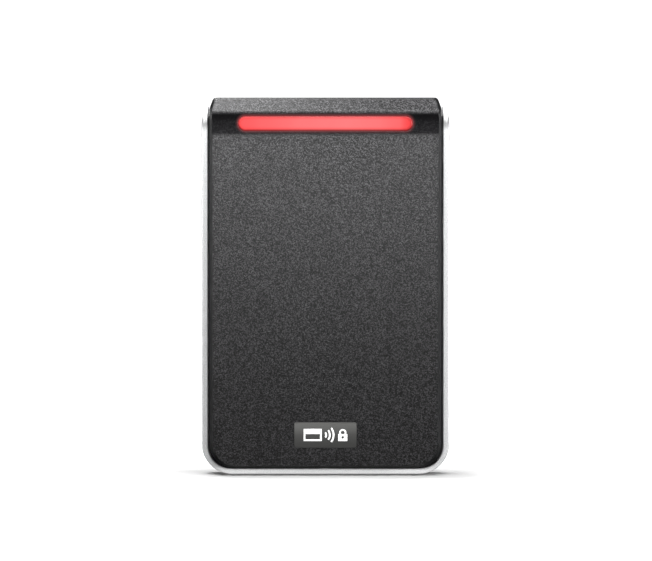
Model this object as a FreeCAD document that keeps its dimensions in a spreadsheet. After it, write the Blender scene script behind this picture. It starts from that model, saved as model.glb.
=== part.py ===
import FreeCAD, Part
import os
import re
import Sketcher
from FreeCAD import Placement, Rotation, Vector

# A wall-mounted RFID card reader, in millimetres.
# Frame: the origin is the centre of the mounting plate's rear face, which lies on the wall at y = 0.
# +Z is up, the reader faces -Y. "Depth" means the distance in front of the wall, so y = -depth.

# name, size, what it is
SIZES = (
    ("base_width", 80, "mounting plate, side to side"),
    ("total_height", 121.5, "bottom of the plate to the top of the cover"),
    ("total_depth", 19.5, "wall to the front of the cover"),
    ("base_top", 58, "top end of the plate's side rims, above the centre"),
    ("base_shoulder", 53.5, "height where the sides start to lean in"),
    ("base_top_half", 38.9, "half width of the plate at its top end"),
    ("base_corner", 9.75, "bottom corner radius of the plate"),
    ("shoulder_round", 20, "radius that blends the leaning sides"),
    ("rim_wall", 2.2, "thickness of the rim at the sides"),
    ("rim_low_wall", 1.65, "thickness of the rim at the bottom"),
    ("rim_depth", 9.5, "depth of the rim"),
    ("rim_edge_round", 0.5, "rounding of the rim's front edge"),
    ("rim_end_round", 6.5, "rounding of the rim's front at its top ends"),
    ("sheet", 2, "thickness of the plate's back"),
    ("sheet_top", 54.8, "top edge of the plate's back"),
    ("rim_top_half", 37.75, "half width inside the rim at its top end"),
    ("cable_half", 20, "cable opening, half width"),
    ("cable_rise", 13, "cable opening, half height"),
    ("cable_round", 3, "cable opening, corner radius"),
    ("gang_spacing", 83.3, "vertical slots, centre to centre"),
    ("gang_slot", 7.2, "vertical slots, overall length"),
    ("box_spacing", 60.3, "horizontal slots, centre to centre"),
    ("box_slot", 7.2, "horizontal slots, overall length"),
    ("slot_radius", 2.1, "radius of a slot's end"),
    ("pivot_depth", 5, "hook bead, distance from the wall"),
    ("pivot_rise", 54.5, "hook bead, height above the centre"),
    ("bead_radius", 1.1, "hook bead"),
    ("hook_offset", 18, "hook centre from the middle"),
    ("hook_width", 14, "hook, side to side"),
    ("hook_neck", 1, "thickness of the hook's neck"),
    ("hook_drop", 6, "hook's foot below the bead"),
    ("hook_foot", 1.5, "thickness of the hook's foot"),
    ("seat_gap", 0.2, "room between the bead and its seat"),
    ("fit_gap", 0.2, "room between the rim and the cover"),
    ("rear_depth", 2.2, "rear edge of the cover"),
    ("draft_depth", 9.6, "depth where the cover's sides start to lean"),
    ("draft_angle", 8.3, "lean of the cover's sides"),
    ("cover_corner", 7.5, "bottom corner radius of the cover"),
    ("cover_shoulder", 50, "height where the cover's sides start to lean in"),
    ("cover_top_half", 36.1, "half width of the cover's top"),
    ("cover_top_corner", 1.4, "top corner radius of the cover"),
    ("cover_cheek", 57, "height where the cover's top corners end"),
    ("cover_cheek_half", 37.5, "half width of the cover there"),
    ("cover_cheek_round", 3, "rounding there"),
    ("crown_rise", 0.7, "how much the face bulges"),
    ("lip_crest", 55.9, "height of the lip's front edge"),
    ("lip_back_depth", 14.2, "depth where the lip's slope meets the top"),
    ("lip_round", 2.2, "rounding of the lip's front edge"),
    ("top_round", 1.5, "rounding where the slope meets the top"),
    ("trough_rise", 52.4, "height of the trough's centre line"),
    ("trough_radius", 5.5, "radius of the trough"),
    ("trough_depth", 2.1, "how deep the trough is cut"),
    ("trough_round", 4, "rounding of the trough's lower edge"),
    ("inner_depth", 17.3, "front of the space inside the cover"),
    ("ledge_depth", 11.1, "ledge that the seal bears on"),
    ("front_wall", 3.3, "cover's side wall in front of the ledge"),
    ("rear_wall", 1.75, "cover's side wall behind the ledge"),
    ("top_wall_under", 58.25, "underside of the cover's top wall"),
    ("under_lean", 1.52, "rise of that underside from the pivot back to the wall"),
    ("bar_room_low", 46.8, "lower end of the room behind the light bar"),
    ("bar_room_foot", 45.4, "where that room meets the space behind the face"),
    ("bar_half", 28.1, "light bar, half length"),
    ("bar_radius", 2.45, "light bar, half height"),
    ("bar_front", 17.75, "front of the light bar"),
    ("bar_flange", 1.6, "flange round the back of the light bar"),
    ("bar_flange_front", 15.85, "front of that flange"),
    ("bar_flange_back", 15.05, "back of that flange"),
    ("bar_round", 0.6, "rounding of its front"),
    ("guide_thick", 0.7, "light guide"),
    ("led_base", 0.35, "height of a lamp's base, and of the window on it"),
    ("led_pitch", 7, "lamps behind the guide, centre to centre"),
    ("badge_width", 20, "badge"),
    ("badge_height", 8.2, "badge"),
    ("badge_drop", 47.6, "badge centre below the centre"),
    ("badge_front", 18.98, "front of the badge"),
    ("badge_thick", 0.9, "badge"),
    ("badge_round", 0.7, "badge corner radius"),
    ("badge_gap", 0.12, "room round the badge"),
    ("symbol_rise", 0.12, "height of the raised marks"),
    ("mark_half", 1.95, "half height of a mark"),
    ("mark_line", 0.55, "width of a mark's strokes"),
    ("card_left", 7, "card mark, left edge from the middle"),
    ("card_right", 1.2, "card mark, right edge from the middle"),
    ("wave_centre", 1.1, "wave marks, centre from the middle"),
    ("wave_spread", 74, "angle that a wave mark spans"),
    ("lock_left", 4.1, "padlock mark, left edge from the middle"),
    ("lock_right", 7, "padlock mark, right edge from the middle"),
    ("keyhole_radius", 0.42, "keyhole in the padlock mark"),
    ("shackle_radius", 1.15, "padlock mark's shackle, outside"),
    ("shackle_line", 0.5, "its width"),
    ("housing_half", 35.6, "rear housing, half width"),
    ("housing_bottom", 56.85, "rear housing, bottom below the centre"),
    ("housing_top", 58, "rear housing, top above the centre"),
    ("housing_rear", 2.4, "rear face of the rear housing"),
    ("housing_floor", 2, "thickness of its floor"),
    ("housing_wall", 1.6, "thickness of its wall"),
    ("housing_front", 9.6, "front edge of its wall"),
    ("housing_corner", 5.1, "bottom corner radius"),
    ("hook_block_front", 8, "front of the blocks round the hooks"),
    ("hook_block_wall", 1.7, "wall of those blocks beside a hook"),
    ("hook_block_low", 46.4, "lower end of those blocks"),
    ("hook_room_low", 47.9, "lower end of the room for a hook"),
    ("hook_clear", 0.5, "room beside and in front of a hook"),
    ("hook_entry", 1.8, "lower lip of the seat below the bead's centre"),
    ("lock_block_half", 9, "half width of the block round the security screw"),
    ("lock_block_front", 10.8, "front of that block"),
    ("tab_clear", 0.3, "room round the plate's tab"),
    ("head_room_half", 3.5, "room round the security screw's head"),
    ("relief_half", 4.2, "room for the head of a wall screw, half width across its slot"),
    ("relief_long", 5.1, "half length of that room along the slot"),
    ("relief_wall", 1.6, "wall round that room"),
    ("relief_side_wall", 1.2, "wall between that room and the housing's side"),
    ("relief_depth", 5.2, "depth of that room"),
    ("relief_front", 6.6, "front of the blocks round it"),
    ("pad_radius", 4, "raised ring round a housing screw"),
    ("pad_thick", 3.6, "height of that ring"),
    ("label_half", 22, "label, half width"),
    ("label_low", 33, "label, bottom below the centre"),
    ("label_high", 19, "label, top below the centre"),
    ("label_gap", 0.2, "room round the label"),
    ("label_recess", 0.2, "depth of the label's recess"),
    ("label_thick", 0.16, "label"),
    ("pipe_side", 25, "tamper light pipe from the middle"),
    ("pipe_drop", 28, "tamper light pipe below the centre"),
    ("pipe_radius", 1.8, "tamper light pipe"),
    ("seal_gap", 0.05, "room either side of the seal"),
    ("seal_wall", 1.2, "width of the seal"),
    ("boss_side", 30.8, "housing screws from the middle"),
    ("boss_top", 42.5, "upper housing screws"),
    ("boss_drop", 49.5, "lower housing screws"),
    ("boss_radius", 3, "screw boss"),
    ("boss_rear", 6.1, "rear end of a screw boss"),
    ("boss_bore", 1.06, "bore of a screw boss"),
    ("boss_bore_depth", 8, "depth of that bore"),
    ("case_screw_head", 2.2, "housing screw, head radius"),
    ("case_screw_high", 1.8, "housing screw, height of the head"),
    ("case_screw_sink", 0.2, "housing screw, head below the housing's rear face"),
    ("case_screw_thread", 1.05, "housing screw, thread radius"),
    ("case_screw_long", 9, "housing screw, length of the thread"),
    ("post_side", 30, "board screws from the middle"),
    ("post_rise", 33, "upper board screws"),
    ("post_drop", 40, "lower board screws"),
    ("post_radius", 2.6, "board post"),
    ("post_bore", 1, "bore of a board post"),
    ("post_bore_depth", 3.2, "depth of that bore"),
    ("post_front", 17.6, "front end of a board post, inside the face"),
    ("board_screw_head", 1.9, "board screw, head radius"),
    ("board_screw_high", 1.5, "board screw, height of the head"),
    ("board_screw_thread", 0.98, "board screw, thread radius"),
    ("board_screw_long", 4.4, "board screw, length of the thread"),
    ("board_hole", 1.2, "hole for a board screw"),
    ("board_corner", 1.5, "board, corner radius"),
    ("board_front", 13.4, "front face of the board"),
    ("board_back", 11.8, "back face of the board"),
    ("board_half", 33, "board, half width"),
    ("board_top", 56, "board, top edge"),
    ("board_drop", 45, "board, bottom edge below the centre"),
    ("notch_side", 27, "board, corner notch"),
    ("notch_rise", 38.5, "board, corner notch"),
    ("track_half", 26.5, "flat antenna, half width"),
    ("track_rise", 36, "flat antenna, half height"),
    ("track_pitch", 1.3, "flat antenna, track to track"),
    ("track_line", 0.7, "flat antenna, width of the track"),
    ("track_thick", 0.07, "flat antenna, thickness"),
    ("ferrite_half", 24, "ferrite sheet, half width"),
    ("ferrite_rise", 32, "ferrite sheet, half height"),
    ("ferrite_back", 13.65, "back of the ferrite sheet"),
    ("ferrite_front", 14.05, "front of the ferrite sheet"),
    ("coil_half", 22.5, "wound antenna, half width outside"),
    ("coil_rise", 30, "wound antenna, half height outside"),
    ("coil_round", 9, "wound antenna, corner radius outside"),
    ("coil_wall", 3, "wound antenna, width of the winding"),
    ("coil_back", 14.3, "back of the wound antenna"),
    ("coil_front", 16.7, "front of the wound antenna"),
    ("radio_left", 14, "radio module, left edge"),
    ("radio_right", 26, "radio module, right edge"),
    ("radio_low", 42, "radio module, bottom below the centre"),
    ("radio_high", 33, "radio module, top below the centre"),
    ("radio_board", 0.8, "radio module, its own board"),
    ("radio_can", 1.5, "radio module, height of the can"),
    ("capacitor_radius", 2, "bulk capacitor"),
    ("capacitor_high", 5.2, "bulk capacitor"),
    ("sounder_side", 24, "sounder from the middle, to the left"),
    ("sounder_drop", 30, "sounder below the centre"),
    ("sounder_radius", 6, "sounder"),
    ("sounder_high", 5.4, "sounder"),
    ("sounder_port", 0.8, "sounder, radius of its sound hole"),
    ("well_half", 20.5, "terminal well, half width inside"),
    ("well_rise", 12, "terminal well, half height inside"),
    ("well_wall", 1.5, "terminal well, wall"),
    ("screw_depth", 5.6, "security screw, distance from the wall"),
    ("screw_radius", 1.75, "security screw, thread"),
    ("screw_head", 2.8, "security screw, head radius"),
    ("screw_head_bottom", 54.9, "underside of the head below the centre"),
    ("screw_head_top", 52.9, "top of the head below the centre"),
    ("screw_tip", 46.2, "end of the thread below the centre"),
    ("washer_radius", 3.2, "captive washer"),
    ("washer_thick", 0.5, "captive washer"),
    ("tab_bottom", 52.2, "plate's tab, underside below the centre"),
    ("tab_top", 50.2, "plate's tab, top below the centre"),
    ("tab_front", 9, "front end of the plate's tab"),
    ("tab_half", 6, "plate's tab, half width"),
    ("tab_slot", 1.95, "half width of the tab's slot"),
    ("insert_radius", 2.4, "threaded insert"),
    ("insert_bottom", 50, "insert's lower end below the centre"),
    ("insert_top", 45.5, "insert's upper end below the centre"),
    ("insert_waist", 48.2, "lower end of the insert's groove, below the centre"),
    ("insert_groove", 0.9, "height of the insert's groove"),
    ("insert_cut", 0.25, "depth of the insert's groove"),
    ("drive_radius", 1.45, "security screw, hexagon's corner radius"),
    ("drive_depth", 1.2, "security screw, depth of the hexagon"),
    ("drive_pin", 0.45, "security screw, radius of the pin in the hexagon"),
    ("screw_lead_in", 0.4, "cone at the screw's tip"),
    ("access_radius", 2.3, "holes for the screwdriver"),
    ("terminal_pitch", 3.5, "terminals, centre to centre"),
    ("plug_side", 12.5, "terminal plug centre from the middle"),
    ("plug_half", 3.4, "terminal plug, half width"),
    ("plug_rise", 9.1, "terminal plug, half height"),
    ("plug_rear", 2.6, "rear face of a plug"),
    ("plug_front", 10.6, "front end of a plug"),
    ("header_gap", 0.15, "room round a plug in its header"),
    ("header_wall", 0.8, "wall of a header"),
    ("header_rear", 5, "rear edge of a header"),
    ("header_floor", 10.8, "floor of a header"),
    ("pin_half", 0.4, "half side of a square pin"),
    ("pin_rear", 6, "rear end of a pin"),
    ("clamp_shift", 1.1, "clamp centre from the plug's centre, towards the middle"),
    ("socket_shift", 2, "pin centre from the plug's centre, away from the middle"),
    ("clamp_head", 1.35, "clamp screw, head radius"),
    ("clamp_thread", 0.95, "clamp screw, thread radius"),
    ("clamp_front", 6.6, "end of a clamp screw"),
    ("clamp_high", 1, "clamp screw, height of the head"),
    ("clamp_slot", 0.22, "clamp screw, half width of its slot"),
    ("clamp_bore_end", 3.9, "end of the bore for a clamp screw's head"),
    ("mouth_rear", 6.7, "wire entry, rear end"),
    ("mouth_front", 8.2, "wire entry, front end"),
    ("mouth_half", 0.95, "wire entry, half height"),
    ("socket_half", 0.6, "half side of the hole for a pin"),
    ("socket_rear", 5.4, "rear end of that hole"),
    ("shroud_gap", 8.6, "depth to which a header's wall is open for the wires"),
    ("cage_wall", 0.9, "clamp cage, rear wall"),
    ("cage_bar", 0.6, "clamp cage, front wall"),
    ("chamber_rear", 4.4, "clamp chamber, rear end"),
    ("chamber_front", 9, "clamp chamber, front end"),
    ("chamber_half", 1.6, "clamp chamber, half width"),
    ("chamber_rise", 1.4, "clamp chamber, half height"),
    ("cage_rear", 5.7, "clamp cage, rear end"),
    ("cage_front", 8.9, "clamp cage, front end"),
    ("cage_half", 1.5, "clamp cage, half width"),
    ("cage_rise", 1.3, "clamp cage, half height"),
)
# chips on the back of the board: node, x, z, width, height, thickness, legs on each side
CHIPS = (
    ("main_processor", -10, 30, 10, 10, 1.2, 12),
    ("rfid_chip", 9, 30, 6, 6, 0.9, 7),
    ("secure_element", 19, 32, 4, 5, 1.0, 4),
    ("line_driver", -27, 22, 4, 5, 1.2, 4),
    ("voltage_regulator", 26, 20, 6, 6.5, 1.8, 3),
)
# plain blocks on the back of the board: node, width, height, thickness, and their centres (x, z)
BOARD_BLOCKS = (
    ("clock_crystal", 2, 5, 1.4, ((-18.6, 34.5),)),
    ("power_inductor", 7, 7, 3.2, ((27.5, 11.5),)),
    ("chip_capacitors", 0.8, 1.6, 0.6,
     tuple((x, z) for z in (22, 37.8) for x in (-15, -12, -9, -6, 6, 9, 12))),
    ("surge_protectors", 2.6, 2, 1.1, tuple((x, -17.5) for x in (-17, -12, -7, 7, 12, 17))),
    ("tamper_sensor", 2.8, 2, 1, ((25, -28),)),
)
CAPACITOR_PLACES = ((-30, 8.2), (-25.4, 8.2))
WAVE_RADII = (1.3, 2.5, 3.7)
TINY = 1e-9
TERMINALS = 5
LED_COUNT = 8
COIL_TURNS = 4
BOTH_SIDES = (("left", -1), ("right", 1))
UP = Vector(0, 0, 1)
FRONT = Vector(0, -1, 0)
SIDE = Vector(1, 0, 0)
ALONG_X = Rotation(Vector(0, 1, 0), 90)
ALONG_FRONT = Rotation(Vector(1, 0, 0), 90)
ALONG_Z = Rotation()

doc = FreeCAD.newDocument("card_reader")
sheet = doc.addObject("Spreadsheet::Sheet", "Sizes")
for row, (alias, size, note) in enumerate(SIZES, start=1):
    sheet.set(f"A{row}", alias)
    sheet.set(f"B{row}", str(size))
    sheet.set(f"C{row}", note)
    sheet.setAlias(f"B{row}", alias)
doc.recompute()
ALIASES = {alias for alias, size, note in SIZES}
PIECES = []


# ---------------------------------------------------------------- expressions

def tied(text):
    """The text as an expression: each alias in it gets the sheet's name."""
    return re.sub(r"[a-z_]+", lambda word: "Sizes." + word[0] if word[0] in ALIASES else word[0], str(text))


def bind(thing, cell, text):
    thing.setExpression(cell, tied(text))


def value(text):
    """The number that an expression gives now."""
    return float(sheet.evalExpression(tied(text).replace("Sizes.", "")))


# ---------------------------------------------------------------- sketches and bodies

def new_body(label):
    part = doc.addObject("PartDesign::Body", label)
    part.Label = label
    return part


def new_sketch(part, plane="XZ_Plane", offset="0"):
    """A sketch on one of the body's own planes; an XZ sketch's offset is a depth."""
    drawing = part.newObject("Sketcher::SketchObject", part.Name + "_sketch")
    drawing.AttachmentSupport = (next(p for p in part.Origin.OriginFeatures if p.Role == plane), "")
    drawing.MapMode = "FlatFace"
    bind(drawing, "AttachmentOffset.Base.z", offset)
    return drawing


def hold(drawing, side, point, x=None, y=None):
    """Ties a sketch point's coordinates to expressions."""
    for kind, axis, text in (("DistanceX", -2, x), ("DistanceY", -1, y)):
        if text is None:
            continue
        distance = value(text)
        if abs(distance) < TINY:
            drawing.addConstraint(Sketcher.Constraint("PointOnObject", side, point, axis))
        else:
            number = drawing.addConstraint(Sketcher.Constraint(kind, -1, 1, side, point, distance))
            bind(drawing, f"Constraints[{number}]", text)


def draw(drawing, corners, arcs=None):
    """A closed outline through corners given anticlockwise. arcs maps a side's number to its radius,
    or to "half" for a half circle on a level or upright side."""
    arcs = arcs or {}
    points = [Vector(value(x), value(y), 0) for x, y in corners]
    sides = []
    for number, start in enumerate(points):
        end = points[(number + 1) % len(points)]
        edge = Part.LineSegment(start, end)
        if number in arcs:
            chord = end - start
            half = chord.Length / 2
            radius = half if arcs[number] == "half" else value(arcs[number])
            outward = Vector(chord.y, -chord.x, 0).normalize()
            bulge = radius - max(radius ** 2 - half ** 2, 0) ** 0.5
            edge = Part.Arc(start, (start + end) * 0.5 + outward * bulge, end)
        sides.append(drawing.addGeometry(edge, False))
    for number, side in enumerate(sides):
        drawing.addConstraint(Sketcher.Constraint("Coincident", sides[number - 1], 2, side, 1))
        hold(drawing, side, 1, *corners[number])
    for number, radius in arcs.items():
        if radius == "half":
            (ax, ay), (bx, by) = corners[number], corners[(number + 1) % len(corners)]
            if abs(value(ax) - value(bx)) < TINY:
                hold(drawing, sides[number], 3, x=ax)
            else:
                hold(drawing, sides[number], 3, y=ay)
        else:
            count = drawing.addConstraint(Sketcher.Constraint("Radius", sides[number], value(radius)))
            bind(drawing, f"Constraints[{count}]", radius)
    return drawing


def ring(drawing, x, y, radius):
    side = drawing.addGeometry(Part.Circle(Vector(value(x), value(y), 0), Vector(0, 0, 1), value(radius)))
    hold(drawing, side, 3, x, y)
    number = drawing.addConstraint(Sketcher.Constraint("Radius", side, value(radius)))
    bind(drawing, f"Constraints[{number}]", radius)
    return drawing


def box_corners(left, right, bottom, top):
    return [(left, bottom), (right, bottom), (right, top), (left, top)]


def stadium(drawing, x, y, half, radius, upright=False):
    """A slot with round ends; half is half its overall length."""
    reach = f"({half} - {radius})"
    if upright:
        corners = box_corners(f"{x} - {radius}", f"{x} + {radius}", f"{y} - {reach}", f"{y} + {reach}")
        return draw(drawing, corners, {0: "half", 2: "half"})
    corners = box_corners(f"{x} - {reach}", f"{x} + {reach}", f"{y} - {radius}", f"{y} + {radius}")
    return draw(drawing, corners, {1: "half", 3: "half"})


def pad(part, drawing, length, both_ways=False, lean=None):
    feature = part.newObject("PartDesign::Pad", part.Name + "_pad")
    feature.Profile = drawing
    feature.SideType = "Symmetric" if both_ways else "One side"
    bind(feature, "Length", length)
    if lean:
        bind(feature, "TaperAngle", lean)
    doc.recompute()
    return feature


def pocket(part, drawing, length, both_ways=False):
    """Cuts from the sketch against its normal: towards the wall for an XZ sketch."""
    before = part.Shape.Volume
    feature = part.newObject("PartDesign::Pocket", part.Name + "_pocket")
    feature.Profile = drawing
    feature.SideType = "Symmetric" if both_ways else "One side"
    bind(feature, "Length", length)
    doc.recompute()
    if part.Shape.Volume > before - TINY:
        raise RuntimeError(f"{part.Label}: a pocket cut nothing")
    return feature


def round_edges(part, radius, chosen):
    """Rounds the edges of the body's tip that chosen(edge) picks."""
    tip = part.Tip
    names = [f"Edge{number}" for number, edge in enumerate(tip.Shape.Edges, start=1) if chosen(edge)]
    if not names:
        raise RuntimeError(f"{part.Label}: no edge to round by {radius}")
    feature = part.newObject("PartDesign::Fillet", part.Name + "_round")
    feature.Base = (tip, names)
    bind(feature, "Radius", radius)
    doc.recompute()
    if feature.Shape.isNull() or "Invalid" in feature.State:
        raise RuntimeError(f"{part.Label}: could not round {names} by {radius}")
    return feature


def runs_along(edge, axis):
    """True for an edge between two points that lies mostly along an axis."""
    if len(edge.Vertexes) < 2:
        return False
    span = edge.Vertexes[-1].Point - edge.Vertexes[0].Point
    return span.Length > TINY and abs(span.dot(axis)) > 0.9 * span.Length


def middle(edge):
    return edge.CenterOfMass


# ---------------------------------------------------------------- primitives

def block(name, across, depth, up):
    """A box from three pairs of expressions: x from and to, depth from and to, z from and to."""
    thing = doc.addObject("Part::Box", name)
    bind(thing, "Length", f"({across[1]}) - ({across[0]})")
    bind(thing, "Width", f"({depth[1]}) - ({depth[0]})")
    bind(thing, "Height", f"({up[1]}) - ({up[0]})")
    bind(thing, "Placement.Base.x", across[0])
    bind(thing, "Placement.Base.y", f"-({depth[1]})")
    bind(thing, "Placement.Base.z", up[0])
    return thing


def rod(name, radius, start, length, turn=ALONG_FRONT):
    """A cylinder from its start (x, depth, z), by default running from there to the front."""
    thing = doc.addObject("Part::Cylinder", name)
    thing.Placement = Placement(Vector(), turn)
    bind(thing, "Radius", radius)
    bind(thing, "Height", length)
    bind(thing, "Placement.Base.x", start[0])
    bind(thing, "Placement.Base.y", f"-({start[1]})")
    bind(thing, "Placement.Base.z", start[2])
    return thing


def joined(name, *things):
    result = doc.addObject("Part::MultiFuse", name)
    result.Shapes = list(things)
    result.Refine = True
    return result


def carved(name, thing, *tools):
    result = doc.addObject("Part::Cut", name)
    result.Base = thing
    result.Tool = tools[0] if len(tools) == 1 else joined(name + "_tools", *tools)
    result.Refine = True
    return result


def shared(name, *things):
    result = doc.addObject("Part::MultiCommon", name)
    result.Shapes = list(things)
    return result


def grouped(name, things):
    result = doc.addObject("Part::Compound", name)
    result.Links = list(things)
    return result


def piece(name, thing):
    """Names a finished sub-part."""
    thing.Label = name
    PIECES.append(thing)
    return thing


# ---------------------------------------------------------------- mounting plate

def mounting_plate():
    """A tray whose rim runs up both sides and round the bottom, with two hooks and one slotted tab."""
    plate = new_body("mounting_plate_tray")
    half, bottom = "base_width / 2", "-total_height / 2"
    outline = [(f"-{half}", bottom), (half, bottom), (half, "base_shoulder"), ("base_top_half", "base_top"),
               ("-base_top_half", "base_top"), (f"-{half}", "base_shoulder")]
    pad(plate, draw(new_sketch(plate), outline), "rim_depth")
    low = value("base_corner") - value("total_height") / 2
    round_edges(plate, "base_corner", lambda e: runs_along(e, FRONT) and middle(e).z < low)
    shoulder = value("base_shoulder")
    round_edges(plate, "shoulder_round",
                lambda e: runs_along(e, FRONT) and abs(middle(e).z - shoulder) < 0.1)

    inside = "(base_width / 2 - rim_wall)"
    floor = "(rim_low_wall - total_height / 2)"
    above = "(base_top + 2)"
    inner_corner = "(base_corner - rim_wall)"
    tray = [(f"-{inside}", f"{floor} + {inner_corner}"), (f"-{inside} + {inner_corner}", floor),
            (f"{inside} - {inner_corner}", floor), (inside, f"{floor} + {inner_corner}"),
            (inside, "cover_shoulder"), ("rim_top_half", "base_top"), ("rim_top_half", above),
            ("-rim_top_half", above), ("-rim_top_half", "base_top"), (f"-{inside}", "cover_shoulder")]
    drawing = draw(new_sketch(plate, offset="rim_depth"), tray, {0: inner_corner, 2: inner_corner})
    pocket(plate, drawing, "rim_depth - sheet")
    top_cut = box_corners("-rim_top_half - 0.3", "rim_top_half + 0.3", "sheet_top", above)
    pocket(plate, draw(new_sketch(plate, offset="sheet"), top_cut), "sheet")

    opening = box_corners("-cable_half", "cable_half", "-cable_rise", "cable_rise")
    pocket(plate, draw(new_sketch(plate, offset="sheet"), opening), "sheet")
    wide = value("cable_half") + 0.1
    round_edges(plate, "cable_round", lambda e: runs_along(e, FRONT) and abs(middle(e).x) < wide
                and abs(middle(e).z) < wide and abs(middle(e).y) < value("sheet"))
    slots = new_sketch(plate, offset="sheet")
    for side in ("-", ""):
        stadium(slots, "0", f"{side}gang_spacing / 2", "gang_slot / 2", "slot_radius", upright=True)
        stadium(slots, f"{side}box_spacing / 2", "0", "box_slot / 2", "slot_radius")
    pocket(plate, slots, "sheet")

    front, top = value("rim_depth"), value("base_top")
    round_edges(plate, "rim_end_round", lambda e: abs(middle(e).y + front) < 0.01
                and abs(middle(e).z - top) < 0.01)
    round_edges(plate, "rim_edge_round", lambda e: abs(-e.BoundBox.YMin - front) < 0.01
                and abs(-e.BoundBox.YMax - front) < 0.01 and middle(e).z < top - 0.1)

    hooks = []
    for name, side in BOTH_SIDES:
        ends = (f"{side} * hook_offset - hook_width / 2", f"{side} * hook_offset + hook_width / 2")
        neck_front = "pivot_depth + bead_radius"
        foot = "pivot_rise - hook_drop"
        hooks += [
            block(f"hook_foot_{name}", ends, ("sheet / 2", neck_front), (foot, f"{foot} + hook_foot")),
            block(f"hook_neck_{name}", ends, (f"{neck_front} - hook_neck", neck_front), (foot, "pivot_rise")),
            rod(f"hook_bead_{name}", "bead_radius", (ends[0], "pivot_depth", "pivot_rise"), "hook_width",
                ALONG_X),
        ]
    tab = block("lock_tab", ("-tab_half", "tab_half"), ("sheet / 2", "tab_front"),
                ("-tab_bottom", "-tab_top"))
    open_slot = block("lock_tab_slot", ("-tab_slot", "tab_slot"), ("screw_depth", "tab_front + 1"),
                      ("-tab_bottom - 1", "1 - tab_top"))
    round_slot = rod("lock_tab_round", "tab_slot", ("0", "screw_depth", "-tab_bottom - 1"),
                     "tab_bottom - tab_top + 2", ALONG_Z)
    access = rod("plate_access_hole", "access_radius", ("0", "screw_depth", "-total_height / 2 - 1"),
                 "rim_wall + 2", ALONG_Z)
    whole = joined("plate_with_hooks", plate, tab, *hooks)
    return piece("mounting_plate", carved("plate", whole, open_slot, round_slot, access))


# ---------------------------------------------------------------- front cover

COVER_HALF = "(base_width / 2 - rim_wall - fit_gap)"
COVER_BOTTOM = "(rim_low_wall + fit_gap - total_height / 2)"


def cover_outline():
    """The cover seen from the front: straight sides, leaning in towards the face."""
    part = new_body("cover_outline")
    corners = [(f"-{COVER_HALF}", COVER_BOTTOM), (COVER_HALF, COVER_BOTTOM), (COVER_HALF, "cover_shoulder"),
               ("cover_cheek_half", "cover_cheek"), ("cover_top_half", "total_height / 2"),
               ("-cover_top_half", "total_height / 2"), ("-cover_cheek_half", "cover_cheek"),
               (f"-{COVER_HALF}", "cover_shoulder")]
    pad(part, draw(new_sketch(part, offset="rear_depth"), corners), "draft_depth - rear_depth")
    pad(part, draw(new_sketch(part, offset="draft_depth"), corners), "total_depth + 1 - draft_depth",
        lean="-draft_angle")
    bottom, cheek, top = value(COVER_BOTTOM), value("cover_cheek"), value("total_height / 2")
    round_edges(part, "cover_corner", lambda e: runs_along(e, FRONT) and middle(e).z < bottom + 3)
    round_edges(part, "cover_top_corner", lambda e: runs_along(e, FRONT) and middle(e).z > top - 1.6)
    round_edges(part, "cover_cheek_round",
                lambda e: runs_along(e, FRONT) and abs(middle(e).z - cheek) < 1.6)
    return part


def cover_profile():
    """The cover seen from the side: bulging face, scooped trough, lip and sloping top."""
    part = new_body("cover_profile")
    edge_depth = "(total_depth - crown_rise)"
    corners = [("-rear_depth", "-total_height / 2"), ("-rear_depth", "total_height / 2"),
               ("-lip_back_depth", "total_height / 2"), (f"-{edge_depth}", "lip_crest"),
               (f"-{edge_depth}", COVER_BOTTOM), (f"-{edge_depth}", "-total_height / 2")]
    crown = f"((lip_crest - {COVER_BOTTOM}) ^ 2 / 8 / crown_rise + crown_rise / 2)"
    pad(part, draw(new_sketch(part, "YZ_Plane"), corners, {3: crown}), "base_width", both_ways=True)
    trough = ring(new_sketch(part, "YZ_Plane"), "-(total_depth - trough_depth + trough_radius)",
                  "trough_rise", "trough_radius")
    pocket(part, trough, "base_width + 10", both_ways=True)
    crest, low = value("lip_crest"), value("trough_rise")

    def across_at(lowest, highest):
        return lambda e: runs_along(e, SIDE) and lowest < middle(e).z < highest and -middle(e).y > 12

    round_edges(part, "lip_round", across_at(crest - 1.5, crest + 1))
    round_edges(part, "trough_round", across_at(low - 7, low - 3))
    round_edges(part, "top_round", across_at(value("total_height / 2 - 0.5"), value("total_height / 2 + 1")))
    return part


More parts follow.
